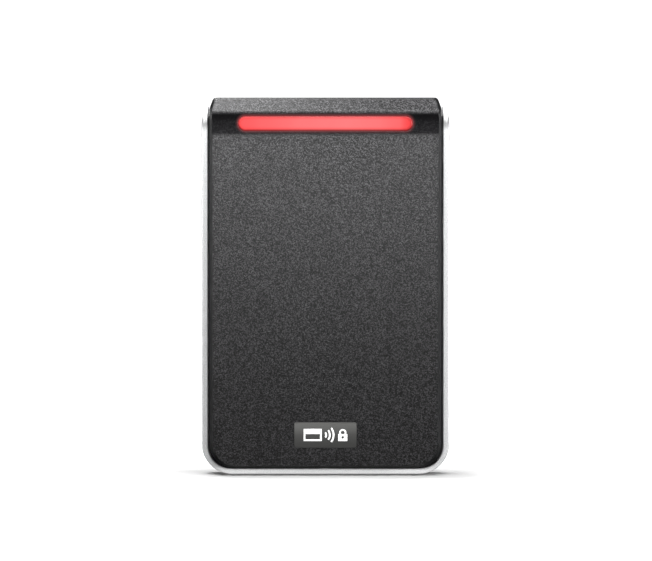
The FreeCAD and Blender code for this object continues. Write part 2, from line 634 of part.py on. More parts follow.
def cover_space():
    """The room inside the cover: narrow in front of the ledge, wide behind it, as far as the wall."""
    front_half = f"({COVER_HALF} - front_wall)"
    front = new_body("cover_front_space")
    corners = [("0", f"{COVER_BOTTOM} + front_wall"), ("0", "top_wall_under"),
               ("-board_front", "top_wall_under"), ("-bar_flange_front", "lip_crest + 0.6"),
               ("-bar_flange_front", "bar_room_low"), ("-inner_depth", "bar_room_foot"),
               ("-inner_depth", f"{COVER_BOTTOM} + front_wall")]
    pad(front, draw(new_sketch(front, "YZ_Plane"), corners), f"2 * {front_half}", both_ways=True)
    low = value(COVER_BOTTOM) + 4
    round_edges(front, "cover_corner - front_wall", lambda e: runs_along(e, FRONT) and middle(e).z < low)

    rear_half = f"({COVER_HALF} - rear_wall)"
    rear = new_body("cover_rear_space")
    corners = [("0", f"{COVER_BOTTOM} + rear_wall"), ("0", "top_wall_under + under_lean"),
               ("-pivot_depth", "top_wall_under"), ("-ledge_depth", "top_wall_under"),
               ("-ledge_depth", f"{COVER_BOTTOM} + rear_wall")]
    pad(rear, draw(new_sketch(rear, "YZ_Plane"), corners), f"2 * {rear_half}", both_ways=True)
    round_edges(rear, "cover_corner - rear_wall", lambda e: runs_along(e, FRONT) and middle(e).z < low)
    wedge = new_body("cover_top_relief")
    corners = [("0", "top_wall_under"), ("0", "top_wall_under + under_lean"),
               ("-pivot_depth", "top_wall_under")]
    pad(wedge, draw(new_sketch(wedge, "YZ_Plane"), corners), "base_width", both_ways=True)
    return front, rear, wedge


def bar_shape(name, grow, back, front):
    """A round-ended bar along X at the trough, grown all round."""
    part = new_body(name)
    drawing = new_sketch(part, offset=back)
    stadium(drawing, "0", "trough_rise", f"bar_half + {grow}", f"(bar_radius + {grow})")
    pad(part, drawing, f"({front}) - ({back})")
    return part


def badge_block(name, grow, back, front):
    """A rounded rectangle at the badge's place, grown all round."""
    part = new_body(name)
    corners = box_corners(f"-badge_width / 2 - {grow}", f"badge_width / 2 + {grow}",
                          f"-badge_drop - badge_height / 2 - {grow}",
                          f"-badge_drop + badge_height / 2 + {grow}")
    pad(part, draw(new_sketch(part, offset=back), corners), f"({front}) - ({back})")
    round_edges(part, "badge_round", lambda e: runs_along(e, FRONT))
    return part


def screw_places():
    for side_name, side in BOTH_SIDES:
        yield f"top_{side_name}", f"{side} * boss_side", "boss_top"
        yield f"low_{side_name}", f"{side} * boss_side", "-boss_drop"


def post_places():
    for side_name, side in BOTH_SIDES:
        yield f"top_{side_name}", f"{side} * post_side", "post_rise"
        yield f"low_{side_name}", f"{side} * post_side", "-post_drop"


def front_cover():
    skin = shared("cover_skin", cover_outline(), cover_profile())
    window = bar_shape("cover_window", "0.05", "inner_depth - 3", "total_depth")
    recess = badge_block("cover_badge_recess", "badge_gap", "badge_front - badge_thick", "total_depth + 1")
    access = rod("cover_access_hole", "access_radius", ("0", "screw_depth", "-total_height / 2"), "6",
                 ALONG_Z)
    shell = carved("cover_shell", skin, *cover_space(), window, recess, access)
    bosses, bores = [], []
    for place, x, z in screw_places():
        bosses.append(rod(f"cover_boss_{place}", "boss_radius", (x, "boss_rear", z),
                          "inner_depth + 0.4 - boss_rear"))
        bores.append(rod(f"cover_boss_bore_{place}", "boss_bore", (x, "boss_rear", z), "boss_bore_depth"))
    for place, x, z in post_places():
        bosses.append(rod(f"cover_post_{place}", "post_radius", (x, "board_front", z),
                          "post_front - board_front"))
        bores.append(rod(f"cover_post_bore_{place}", "post_bore", (x, "board_front", z), "post_bore_depth"))
    return piece("front_cover", carved("cover", joined("cover_with_bosses", shell, *bosses), *bores))


# ---------------------------------------------------------------- light bar and badge

def light_bar():
    nose = bar_shape("lens_nose", "0", "bar_flange_front - 0.1", "bar_front")
    face = value("bar_front")
    round_edges(nose, "bar_round", lambda e: abs(-middle(e).y - face) < 0.01)
    flange = bar_shape("lens_flange", "bar_flange", "bar_flange_back", "bar_flange_front")
    piece("light_bar_lens", joined("lens", nose, flange))

    piece("light_guide", bar_shape("guide", "-0.2", "bar_flange_back - 0.05 - guide_thick",
                                   "bar_flange_back - 0.05"))

    frame = bar_shape("reflector_outside", "bar_flange", "board_front + 0.02", "bar_flange_back")
    inside = bar_shape("reflector_inside", "0", "board_front - 1", "bar_flange_back + 1")
    piece("light_reflector", carved("reflector", frame, inside))

    leds = []
    for number in range(LED_COUNT):
        x = f"{number - (LED_COUNT - 1) / 2} * led_pitch"
        base = block(f"led_base_{number}", (f"{x} - 0.8", f"{x} + 0.8"),
                     ("board_front", "board_front + led_base"), ("trough_rise - 0.6", "trough_rise + 0.6"))
        dome = block(f"led_window_{number}", (f"{x} - 0.6", f"{x} + 0.6"),
                     ("board_front + led_base", "board_front + 2 * led_base"),
                     ("trough_rise - 0.45", "trough_rise + 0.45"))
        leds.append(joined(f"led_{number}", base, dome))
    piece("status_leds", grouped("leds", leds))


def arc_mark(name, radius):
    """A curved stroke on the badge, opening to the right: a slice of a thin ring."""
    place = ("-wave_centre", "badge_front", "-badge_drop")
    outer = rod(f"{name}_outer", f"{radius} + mark_line / 2", place, "symbol_rise")
    inner = rod(f"{name}_inner", f"{radius} - mark_line / 2", (place[0], "badge_front - 1", place[2]),
                "symbol_rise + 2")
    bind(outer, "Angle", "wave_spread")
    outer.Placement.Rotation = ALONG_FRONT.multiply(Rotation(UP, -value("wave_spread") / 2))
    return carved(name, outer, inner)


def badge():
    """The grey plate, and on it a card, three waves and a padlock."""
    piece("badge_plate", badge_block("badge", "0", "badge_front - badge_thick + 0.02", "badge_front"))
    face = ("badge_front", "badge_front + symbol_rise")
    through = ("badge_front - 1", "badge_front + 1")
    bottom, top = "-badge_drop - mark_half", "-badge_drop + mark_half"
    card = block("mark_card_outside", ("-card_left", "-card_right"), face, (bottom, top))
    hole = block("mark_card_inside", ("mark_line - card_left", "-card_right - mark_line"), through,
                 (f"{bottom} + mark_line", f"{top} - mark_line * 3"))
    marks = [carved("mark_card", card, hole)]
    for number, radius in enumerate(WAVE_RADII):
        marks.append(arc_mark(f"mark_wave_{number}", radius))

    centre = "(lock_left + lock_right) / 2"
    shoulder = "-badge_drop + 0.3"
    lock = block("mark_lock_body", ("lock_left", "lock_right"), face, (bottom, shoulder))
    keyhole = rod("mark_keyhole", "keyhole_radius", (centre, through[0], f"{bottom} + mark_half * 0.6"), "2")
    marks.append(carved("mark_lock", lock, keyhole))
    rise = f"{top} - shackle_radius - 0.05"
    shackle = rod("mark_shackle_outside", "shackle_radius", (centre, "badge_front", rise), "symbol_rise")
    space = rod("mark_shackle_inside", "shackle_radius - shackle_line", (centre, through[0], rise), "2")
    low = block("mark_shackle_low", ("lock_left - 1", "lock_right + 1"), through, (bottom, shoulder))
    marks.append(carved("mark_shackle", shackle, space, low))
    piece("badge_symbol", grouped("badge_marks", marks))


# ---------------------------------------------------------------- rear housing

def housing_block(name, grow, depth, bottom_grow=None):
    """The housing's outline as a block, grown all round, between two depths."""
    part = new_body(name)
    half = f"(housing_half + {grow})"
    low = f"-housing_bottom - ({bottom_grow or grow})"
    corners = box_corners(f"-{half}", half, low, f"housing_top + {grow}")
    pad(part, draw(new_sketch(part, offset=depth[0]), corners), f"({depth[1]}) - ({depth[0]})")
    lowest = value(low) + 1
    round_edges(part, f"housing_corner + {grow}", lambda e: runs_along(e, FRONT) and middle(e).z < lowest)
    return part


def grown(ends, wall):
    """A pair of expressions moved apart by a wall at each end."""
    return f"{ends[0]} - {wall}", f"{ends[1]} + {wall}"


def rear_housing():
    """A tub that closes the back: floor and wall, with pockets for the plate's hooks, tab and screws,
    and a well that leads to the terminals."""
    rear, floor = "housing_rear", "housing_rear + housing_floor"
    outside = housing_block("housing_outside", "0", (rear, "housing_front"))
    inside = housing_block("housing_inside", "(-housing_wall)", (floor, "housing_front + 1"))
    tub = carved("housing_tub", outside, inside)
    solid, cuts = [], []

    for name, side in BOTH_SIDES:
        left = f"{side} * hook_offset - hook_width / 2"
        right = f"{side} * hook_offset + hook_width / 2"
        solid.append(block(f"hook_block_{name}", (f"{left} - hook_block_wall", f"{right} + hook_block_wall"),
                           (rear, "hook_block_front"), ("hook_block_low", "housing_top")))
        across = (f"{left} - hook_clear", f"{right} + hook_clear")
        front = "pivot_depth + bead_radius + hook_clear"
        cuts.append(block(f"hook_pocket_{name}", across, ("pivot_depth - bead_radius - seat_gap", front),
                          ("hook_room_low", "pivot_rise")))
        cuts.append(block(f"hook_entry_{name}", across, ("-1", front),
                          ("hook_room_low", "pivot_rise - hook_entry")))
        cuts.append(rod(f"hook_seat_{name}", "bead_radius + seat_gap",
                        (across[0], "pivot_depth", "pivot_rise"), "hook_width + 2 * hook_clear", ALONG_X))

    lock_half = ("-lock_block_half", "lock_block_half")
    solid.append(block("lock_block", lock_half, (rear, "housing_front"), ("-housing_bottom", "-insert_top")))
    solid.append(block("lock_block_step", lock_half, ("housing_front - 1", "lock_block_front"),
                       ("-housing_bottom + housing_wall", "-insert_top")))
    cuts.append(block("head_chamber", ("-head_room_half", "head_room_half"),
                      ("0", "screw_depth + head_room_half"), ("-housing_bottom - 1", "-tab_bottom")))
    cuts.append(block("tab_chamber", ("-tab_half - tab_clear", "tab_half + tab_clear"),
                      ("0", "tab_front + tab_clear"), ("-tab_bottom - tab_clear", "-insert_bottom")))
    cuts.append(rod("insert_bore", "insert_radius", ("0", "screw_depth", "-insert_bottom - 1"), "8", ALONG_Z))

    # room for the head of each screw in the plate's slots, with a wall round it
    gang, box = "gang_spacing / 2", "box_spacing / 2"
    across_slot = ("-relief_half", "relief_half")
    for name, room_x, room_z in (
        ("top", across_slot, (f"{gang} - relief_long", f"{gang} + relief_long")),
        ("low", across_slot, ("-insert_top + 0.1", f"relief_long - {gang}")),
        ("left", ("relief_side_wall - housing_half", f"relief_long - {box}"), across_slot),
        ("right", (f"{box} - relief_long", "housing_half - relief_side_wall"), across_slot),
    ):
        solid.append(block(f"relief_block_{name}", grown(room_x, "relief_wall"), (rear, "relief_front"),
                           grown(room_z, "relief_wall")))
        cuts.append(block(f"relief_room_{name}", room_x, ("0", "relief_depth"), room_z))

    for place, x, z in screw_places():
        solid.append(rod(f"housing_pad_{place}", "pad_radius", (x, rear, z), "pad_thick"))
        cuts.append(rod(f"housing_sink_{place}", "case_screw_head + 0.4", (x, "0", z),
                        f"{rear} + case_screw_sink + case_screw_high"))
        cuts.append(rod(f"housing_hole_{place}", "case_screw_thread + 0.35", (x, "0", z), "10"))

    wide, tall = "well_half + well_wall", "well_rise + well_wall"
    solid.append(block("well_block", (f"-({wide})", wide), (rear, "board_back - 0.15"), (f"-({tall})", tall)))
    cuts.append(block("well_space", ("-well_half", "well_half"), ("0", "board_back"),
                      ("-well_rise", "well_rise")))
    cuts.append(block("label_space", ("-label_half - label_gap", "label_half + label_gap"),
                      ("0", f"{rear} + label_recess"), ("-label_low - label_gap", "label_gap - label_high")))
    cuts.append(rod("light_pipe_bore", "pipe_radius + 0.05", ("pipe_side", "0", "-pipe_drop"), "6"))
    whole = shared("housing_trimmed", joined("housing_solid", tub, *solid),
                   housing_block("housing_limit", "0", (rear, "board_back")))
    return piece("rear_housing", carved("housing", whole, *cuts))


def housing_fittings():
    """The seal, the housing screws, the label and the insert for the security screw."""
    depth = ("housing_front + seal_gap", "ledge_depth - seal_gap")
    outside = housing_block("seal_outside", "(-0.1)", depth)
    inside = housing_block("seal_inside", "(-0.1 - seal_wall)", (f"{depth[0]} - 1", f"{depth[1]} + 1"))
    piece("housing_seal", carved("seal", outside, inside))

    screws = []
    for place, x, z in screw_places():
        head = rod(f"housing_screw_head_{place}", "case_screw_head",
                   (x, "housing_rear + case_screw_sink", z), "case_screw_high")
        drive = rod(f"housing_screw_drive_{place}", "0.9", (x, "0", z), "housing_rear + 1.2")
        shank = rod(f"housing_screw_shank_{place}", "case_screw_thread",
                    (x, "housing_rear + case_screw_sink - 0.1 + case_screw_high", z), "case_screw_long")
        blank = joined(f"housing_screw_blank_{place}", head, shank)
        screws.append(carved(f"housing_screw_{place}", blank, drive))
    piece("housing_screws", grouped("all_housing_screws", screws))

    piece("rating_label", block("label", ("-label_half", "label_half"),
                                ("housing_rear + label_recess - 0.01 - label_thick",
                                 "housing_rear + label_recess - 0.01"), ("-label_low", "-label_high")))

    outside = rod("insert_body", "insert_radius", ("0", "screw_depth", "-insert_bottom"),
                  "insert_bottom - insert_top", ALONG_Z)
    groove = rod("insert_groove_cut", "insert_radius + 1", ("0", "screw_depth", "-insert_waist"),
                 "insert_groove", ALONG_Z)
    core = rod("insert_core", "insert_radius - insert_cut", ("0", "screw_depth", "-insert_waist - 0.1"),
               "insert_groove + 0.2", ALONG_Z)
    bore = rod("insert_bore_hole", "screw_radius + 0.05", ("0", "screw_depth", "-insert_bottom - 1"), "9",
               ALONG_Z)
    waisted = joined("insert_waisted", carved("insert_grooved", outside, groove), core)
    piece("threaded_insert", carved("insert", waisted, bore))


# ---------------------------------------------------------------- security screw

def security_screw():
    """A pin-hexagon screw with its captive washer."""
    low, high = "-screw_head_bottom", "-screw_head_top"
    head = rod("screw_head_blank", "screw_head", ("0", "screw_depth", low), f"{high} - ({low})", ALONG_Z)
    drive = doc.addObject("Part::Prism", "screw_drive")
    drive.Polygon = 6
    bind(drive, "Circumradius", "drive_radius")
    bind(drive, "Height", "drive_depth + 0.1")
    bind(drive, "Placement.Base.y", "-screw_depth")
    bind(drive, "Placement.Base.z", f"{low} - 0.1")
    pin = rod("screw_drive_pin", "drive_pin", ("0", "screw_depth", low), "drive_depth + 0.05", ALONG_Z)
    shank = rod("screw_shank", "screw_radius", ("0", "screw_depth", f"{high} - 0.1"),
                "screw_head_top + 0.1 - screw_tip - screw_lead_in", ALONG_Z)
    tip = doc.addObject("Part::Cone", "screw_tip_cone")
    bind(tip, "Radius1", "screw_radius")
    bind(tip, "Radius2", "screw_radius - screw_lead_in")
    bind(tip, "Height", "screw_lead_in")
    bind(tip, "Placement.Base.y", "-screw_depth")
    bind(tip, "Placement.Base.z", "-screw_tip - screw_lead_in")
    piece("security_screw", joined("screw", carved("screw_head_cut", head, drive), pin, shank, tip))

    top = f"{high} + washer_thick"
    washer = new_body("washer_blank")
    drawing = new_sketch(washer, "XY_Plane", top)
    ring(drawing, "0", "-screw_depth", "washer_radius")
    ring(drawing, "0", "-screw_depth", "screw_radius + 0.1")
    feature = pad(washer, drawing, "washer_thick")
    feature.Reversed = True
    piece("screw_washer", washer)


# ---------------------------------------------------------------- board and its parts

def main_board():
    """One board; its upper corners are notched round the screw bosses."""
    board = new_body("main_board")
    corners = [("-board_half", "-board_drop"), ("board_half", "-board_drop"), ("board_half", "notch_rise"),
               ("notch_side", "notch_rise"), ("notch_side", "board_top"), ("-notch_side", "board_top"),
               ("-notch_side", "notch_rise"), ("-board_half", "notch_rise")]
    pad(board, draw(new_sketch(board, offset="board_back"), corners), "board_front - board_back")
    holes = new_sketch(board, offset="board_front")
    for place, x, z in post_places():
        ring(holes, x, z, "board_hole")
    pocket(board, holes, "board_front - board_back")
    far = value("board_half") - 0.1
    round_edges(board, "board_corner", lambda e: runs_along(e, FRONT) and abs(middle(e).x) > far)
    piece("main_board", board)

    screws = []
    for place, x, z in post_places():
        head = rod(f"board_screw_head_{place}", "board_screw_head", (x, "board_back - board_screw_high", z),
                   "board_screw_high")
        drive = rod(f"board_screw_drive_{place}", "0.8", (x, "board_back - board_screw_high - 0.5", z), "1.3")
        shank = rod(f"board_screw_shank_{place}", "board_screw_thread", (x, "board_back - 0.1", z),
                    "board_screw_long")
        blank = joined(f"board_screw_blank_{place}", head, shank)
        screws.append(carved(f"board_screw_{place}", blank, drive))
    piece("board_screws", grouped("all_board_screws", screws))


def spiral(half_width, half_height, pitch, line, turns):
    """The outline of a square-cornered flat spiral track, as x, z points: in along its outer edge and
    back along its inner edge. Each turn starts at its lower left corner, one pitch inside the last."""
    outer, inner = [], []
    for turn in range(turns):
        for side, rise in ((-1, -1), (1, -1), (1, 1), (-1, 1)):
            starts = side < 0 and rise < 0
            across = half_width - pitch * (max(turn - 1, 0) if starts else turn)
            along = half_height - pitch * turn
            for edge, half in ((outer, line / 2), (inner, -line / 2)):
                edge.append((side * (across + half), rise * (along + half)))
    return outer + inner[::-1]


def oval(name, inset, depth):
    """A round-cornered block with the wound antenna's outline, inset all round."""
    part = new_body(name)
    across, along = f"coil_half - {inset}", f"coil_rise - {inset}"
    corners = box_corners(f"-({across})", across, f"-({along})", along)
    pad(part, draw(new_sketch(part, offset=depth[0]), corners), f"({depth[1]}) - ({depth[0]})")
    round_edges(part, f"coil_round - {inset}", lambda e: runs_along(e, FRONT))
    return part


def antennas():
    """A flat track on the front of the board, and over it a ferrite sheet and a wound coil."""
    outline = spiral(*(value("track_" + size) for size in ("half", "rise", "pitch", "line")), COIL_TURNS)
    depth = value("board_front")
    corners = [Vector(x, -depth, z) for x, z in outline]
    track = doc.addObject("Part::Feature", "flat_track")
    track.Shape = Part.Face(Part.makePolygon(corners + corners[:1])).extrude(FRONT * value("track_thick"))
    piece("hf_antenna_coil", track)
    piece("ferrite_sheet", block("ferrite", ("-ferrite_half", "ferrite_half"),
                                 ("ferrite_back", "ferrite_front"), ("-ferrite_rise", "ferrite_rise")))
    winding = oval("coil_outside", "0", ("coil_back", "coil_front"))
    hole = oval("coil_inside", "coil_wall", ("coil_back - 1", "coil_front + 1"))
    piece("lf_antenna_coil", carved("wound_coil", winding, hole))


def chip(name, x, z, wide, tall, high, legs):
    """A moulded chip on the back of the board, with legs along its two upright sides."""
    parts = [block(f"{name}_body", (x - wide / 2, x + wide / 2),
                   (f"board_back - 0.1 - {high}", "board_back - 0.1"), (z - tall / 2, z + tall / 2))]
    for number in range(legs):
        leg_z = z + (number - (legs - 1) / 2) * (tall - 0.6) / (legs - 1)
        parts.append(block(f"{name}_leg_{number}", (x - wide / 2 - 0.8, x + wide / 2 + 0.8),
                           ("board_back - 0.3", "board_back"), (leg_z - 0.12, leg_z + 0.12)))
    return joined(f"{name}_chip", *parts)


def on_board():
    """What is soldered to the back of the board."""
    for name, x, z, wide, tall, high, legs in CHIPS:
        piece(name, chip(name, x, z, wide, tall, high, legs))
    for name, wide, tall, high, places in BOARD_BLOCKS:
        blocks = [block(f"{name}_{number}", (x - wide / 2, x + wide / 2),
                        (f"board_back - {high}", "board_back"), (z - tall / 2, z + tall / 2))
                  for number, (x, z) in enumerate(places)]
        piece(name, grouped(f"{name}_group", blocks) if len(blocks) > 1 else blocks[0])

    module_back = "board_back - radio_board"
    module = block("radio_base", ("radio_left", "radio_right"), (module_back, "board_back"),
                   ("-radio_low", "-radio_high"))
    can = block("radio_shield", ("radio_left + 0.6", "radio_right - 4"),
                (f"{module_back} - radio_can", module_back), ("0.6 - radio_low", "-radio_high - 0.6"))
    piece("bluetooth_module", joined("radio_module", module, can))

    cans = [rod(f"capacitor_{number}", "capacitor_radius", (x, "board_back - capacitor_high", z),
                "capacitor_high") for number, (x, z) in enumerate(CAPACITOR_PLACES)]
    piece("bulk_capacitors", grouped("capacitor_pair", cans))

    back = "board_back - sounder_high"
    drum = rod("sounder_drum", "sounder_radius", ("-sounder_side", back, "-sounder_drop"), "sounder_high")
    port = rod("sounder_hole", "sounder_port", ("-sounder_side", f"{back} - 1", "-sounder_drop"), "2")
    piece("sounder", carved("sounder_body", drum, port))

    stem = rod("pipe_stem", "pipe_radius", ("pipe_side", "housing_rear + 0.1", "-pipe_drop"),
               "board_back - housing_rear - 1.3")
    collar = rod("pipe_collar", "pipe_radius + 0.7",
                 ("pipe_side", "housing_rear + housing_floor + 0.05", "-pipe_drop"), "0.8")
    piece("tamper_light_pipe", joined("pipe", stem, collar))


# ---------------------------------------------------------------- terminals

def terminal_side(name, side):
    """One header on the board and the plug in it; its wires enter from the middle of the reader."""
    centre = f"({side} * plug_side)"
    clamp_x = f"({centre} - {side} * clamp_shift)"
    socket_x = f"({centre} + {side} * socket_shift)"
    room, tall = "plug_half + header_gap", "plug_rise + header_gap"
    shroud = block(f"header_outside_{name}",
                   (f"{centre} - ({room}) - header_wall", f"{centre} + {room} + header_wall"),
                   ("header_rear", "board_back"), (f"-({tall}) - header_wall", f"{tall} + header_wall"))
    cavity = block(f"header_inside_{name}", (f"{centre} - ({room})", f"{centre} + {room}"),
                   ("0", "header_floor"), (f"-({tall})", tall))
    opening = block(f"header_gap_{name}", inward(side, centre, "plug_half", "plug_half + 2"),
                    ("0", "shroud_gap"), (f"-({tall})", tall))
    header_cuts = [cavity, opening]
    pins, plug_cuts = [], []
    first = 1 if side < 0 else TERMINALS + 1
    for number in range(TERMINALS):
        label = first + number
        z = f"{(TERMINALS - 1) / 2 - number} * terminal_pitch"
        square_x = (f"{socket_x} - pin_half", f"{socket_x} + pin_half")
        square_z = (f"{z} - pin_half", f"{z} + pin_half")
        pins.append(block(f"pin_{label}", square_x, ("pin_rear", "board_back"), square_z))
        header_cuts.append(block(f"pin_hole_{label}", square_x, ("header_floor - 1", "board_back + 1"),
                                 square_z))
        plug_cuts += plug_cut(label, side, clamp_x, socket_x, z)
        clamp(label, clamp_x, z)
    piece(f"header_{name}", carved(f"header_body_{name}", shroud, *header_cuts))
    body = block(f"plug_body_{name}", (f"{centre} - plug_half", f"{centre} + plug_half"),
                 ("plug_rear", "plug_front"), ("-plug_rise", "plug_rise"))
    piece(f"plug_{name}", carved(f"plug_shape_{name}", body, *plug_cuts))
    return pins


def inward(side, centre, near, far):
    """From near to far on the side of centre that faces the middle of the reader, lower x first."""
    ends = (f"{centre} - {side} * ({near})", f"{centre} - {side} * ({far})")
    return ends if side < 0 else ends[::-1]


def plug_cut(label, side, clamp_x, socket_x, z):
    """One terminal's spaces in its plug: chamber, screw bores, wire entry and the hole for the pin."""
    return [
        block(f"chamber_{label}", (f"{clamp_x} - chamber_half", f"{clamp_x} + chamber_half"),
              ("chamber_rear", "chamber_front"), (f"{z} - chamber_rise", f"{z} + chamber_rise")),
        rod(f"head_bore_{label}", "clamp_head + 0.15", (clamp_x, "0", z), "clamp_bore_end"),
        rod(f"thread_bore_{label}", "clamp_thread + 0.15", (clamp_x, "0", z), "chamber_rear + 0.6"),
        block(f"wire_mouth_{label}", inward(side, clamp_x, "0", "6"), ("mouth_rear", "mouth_front"),
              (f"{z} - mouth_half", f"{z} + mouth_half")),
        block(f"socket_{label}", (f"{socket_x} - socket_half", f"{socket_x} + socket_half"),
              ("socket_rear", "plug_front + 1"), (f"{z} - socket_half", f"{z} + socket_half")),
    ]


def clamp(label, clamp_x, z):
    """One clamp screw and the cage that it draws up."""
    head = rod(f"clamp_head_{label}", "clamp_head", (clamp_x, "plug_rear + 0.2", z), "clamp_high")
    slot = block(f"clamp_slot_{label}", (f"{clamp_x} - 2", f"{clamp_x} + 2"), ("0", "plug_rear + 0.75"),
                 (f"{z} - clamp_slot", f"{z} + clamp_slot"))
    thread = rod(f"clamp_thread_{label}", "clamp_thread", (clamp_x, "plug_rear + clamp_high", z),
                 "clamp_front - plug_rear - clamp_high")
    piece(f"clamp_screw_{label}", carved(f"clamp_screw_shape_{label}",
                                         joined(f"clamp_blank_{label}", head, thread), slot))
    cage = block(f"cage_blank_{label}", (f"{clamp_x} - cage_half", f"{clamp_x} + cage_half"),
                 ("cage_rear", "cage_front"), (f"{z} - cage_rise", f"{z} + cage_rise"))
    window = block(f"cage_window_{label}", (f"{clamp_x} - 2", f"{clamp_x} + 2"),
                   ("cage_rear + cage_wall", "cage_front - cage_bar"),
                   (f"{z} - mouth_half", f"{z} + mouth_half"))
    tapped = rod(f"cage_bore_{label}", "clamp_thread + 0.05", (clamp_x, "cage_rear - 1", z),
                 "cage_wall + 1.6")
    piece(f"clamp_cage_{label}", carved(f"cage_shape_{label}", cage, window, tapped))


def terminals():
    pins = []
    for name, side in BOTH_SIDES:
        pins += terminal_side(name, side)
    piece("header_pins", grouped("pins", pins))


# ---------------------------------------------------------------- build, check and write

mounting_plate()
front_cover()
light_bar()
badge()
rear_housing()
housing_fittings()
security_screw()
main_board()
antennas()
on_board()
terminals()
doc.recompute()

for thing in doc.Objects:
    if {"Invalid", "Error"} & set(thing.State):
        raise RuntimeError(f"{thing.Name} ({thing.Label}) failed: {thing.State}")
for thing in PIECES:
    if thing.Shape.isNull() or not thing.Shape.isValid() or not thing.Shape.Solids:
        raise RuntimeError(f"{thing.Label} has no valid solid")

os.makedirs("parts", exist_ok=True)
for thing in PIECES:
    thing.Shape.exportStep(f"parts/{thing.Label}.step")
    print(thing.Label, len(thing.Shape.Solids), round(thing.Shape.Volume, 2))
print(len(PIECES), "nodes")
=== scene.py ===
import math

import bmesh
import bpy
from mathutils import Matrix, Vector


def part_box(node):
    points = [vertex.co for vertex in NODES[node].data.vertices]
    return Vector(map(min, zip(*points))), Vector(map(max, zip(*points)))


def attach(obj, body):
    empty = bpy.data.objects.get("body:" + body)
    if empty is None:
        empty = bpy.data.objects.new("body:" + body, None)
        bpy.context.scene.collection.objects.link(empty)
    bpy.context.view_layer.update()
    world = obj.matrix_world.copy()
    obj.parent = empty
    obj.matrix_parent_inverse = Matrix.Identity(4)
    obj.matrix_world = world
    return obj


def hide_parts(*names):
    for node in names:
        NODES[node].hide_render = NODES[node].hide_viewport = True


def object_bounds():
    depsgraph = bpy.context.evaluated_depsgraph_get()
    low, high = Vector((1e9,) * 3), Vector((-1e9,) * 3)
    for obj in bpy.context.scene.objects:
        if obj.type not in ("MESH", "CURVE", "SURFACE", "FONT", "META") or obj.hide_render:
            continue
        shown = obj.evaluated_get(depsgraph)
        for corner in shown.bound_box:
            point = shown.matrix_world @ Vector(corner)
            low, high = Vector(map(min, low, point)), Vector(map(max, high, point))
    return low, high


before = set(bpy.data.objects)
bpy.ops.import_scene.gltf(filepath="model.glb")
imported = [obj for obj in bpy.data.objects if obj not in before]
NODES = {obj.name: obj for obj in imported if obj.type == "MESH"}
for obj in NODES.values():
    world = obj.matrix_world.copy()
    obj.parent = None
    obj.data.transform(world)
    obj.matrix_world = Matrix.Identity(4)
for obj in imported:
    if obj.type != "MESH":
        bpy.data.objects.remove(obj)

# The looks of a wall-mounted RFID card reader, in metres, in the frame's own coordinates:
# the wall is y = 0, the reader faces -Y and +Z is up.

CAD_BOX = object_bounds()
LOW, HIGH = CAD_BOX
MM = 0.001
BAR_STRAIGHT = 25.65 * MM        # half length of the light bar's straight part
BAR_RADIUS = 2.45 * MM


# ---------------------------------------------------------------- node trees

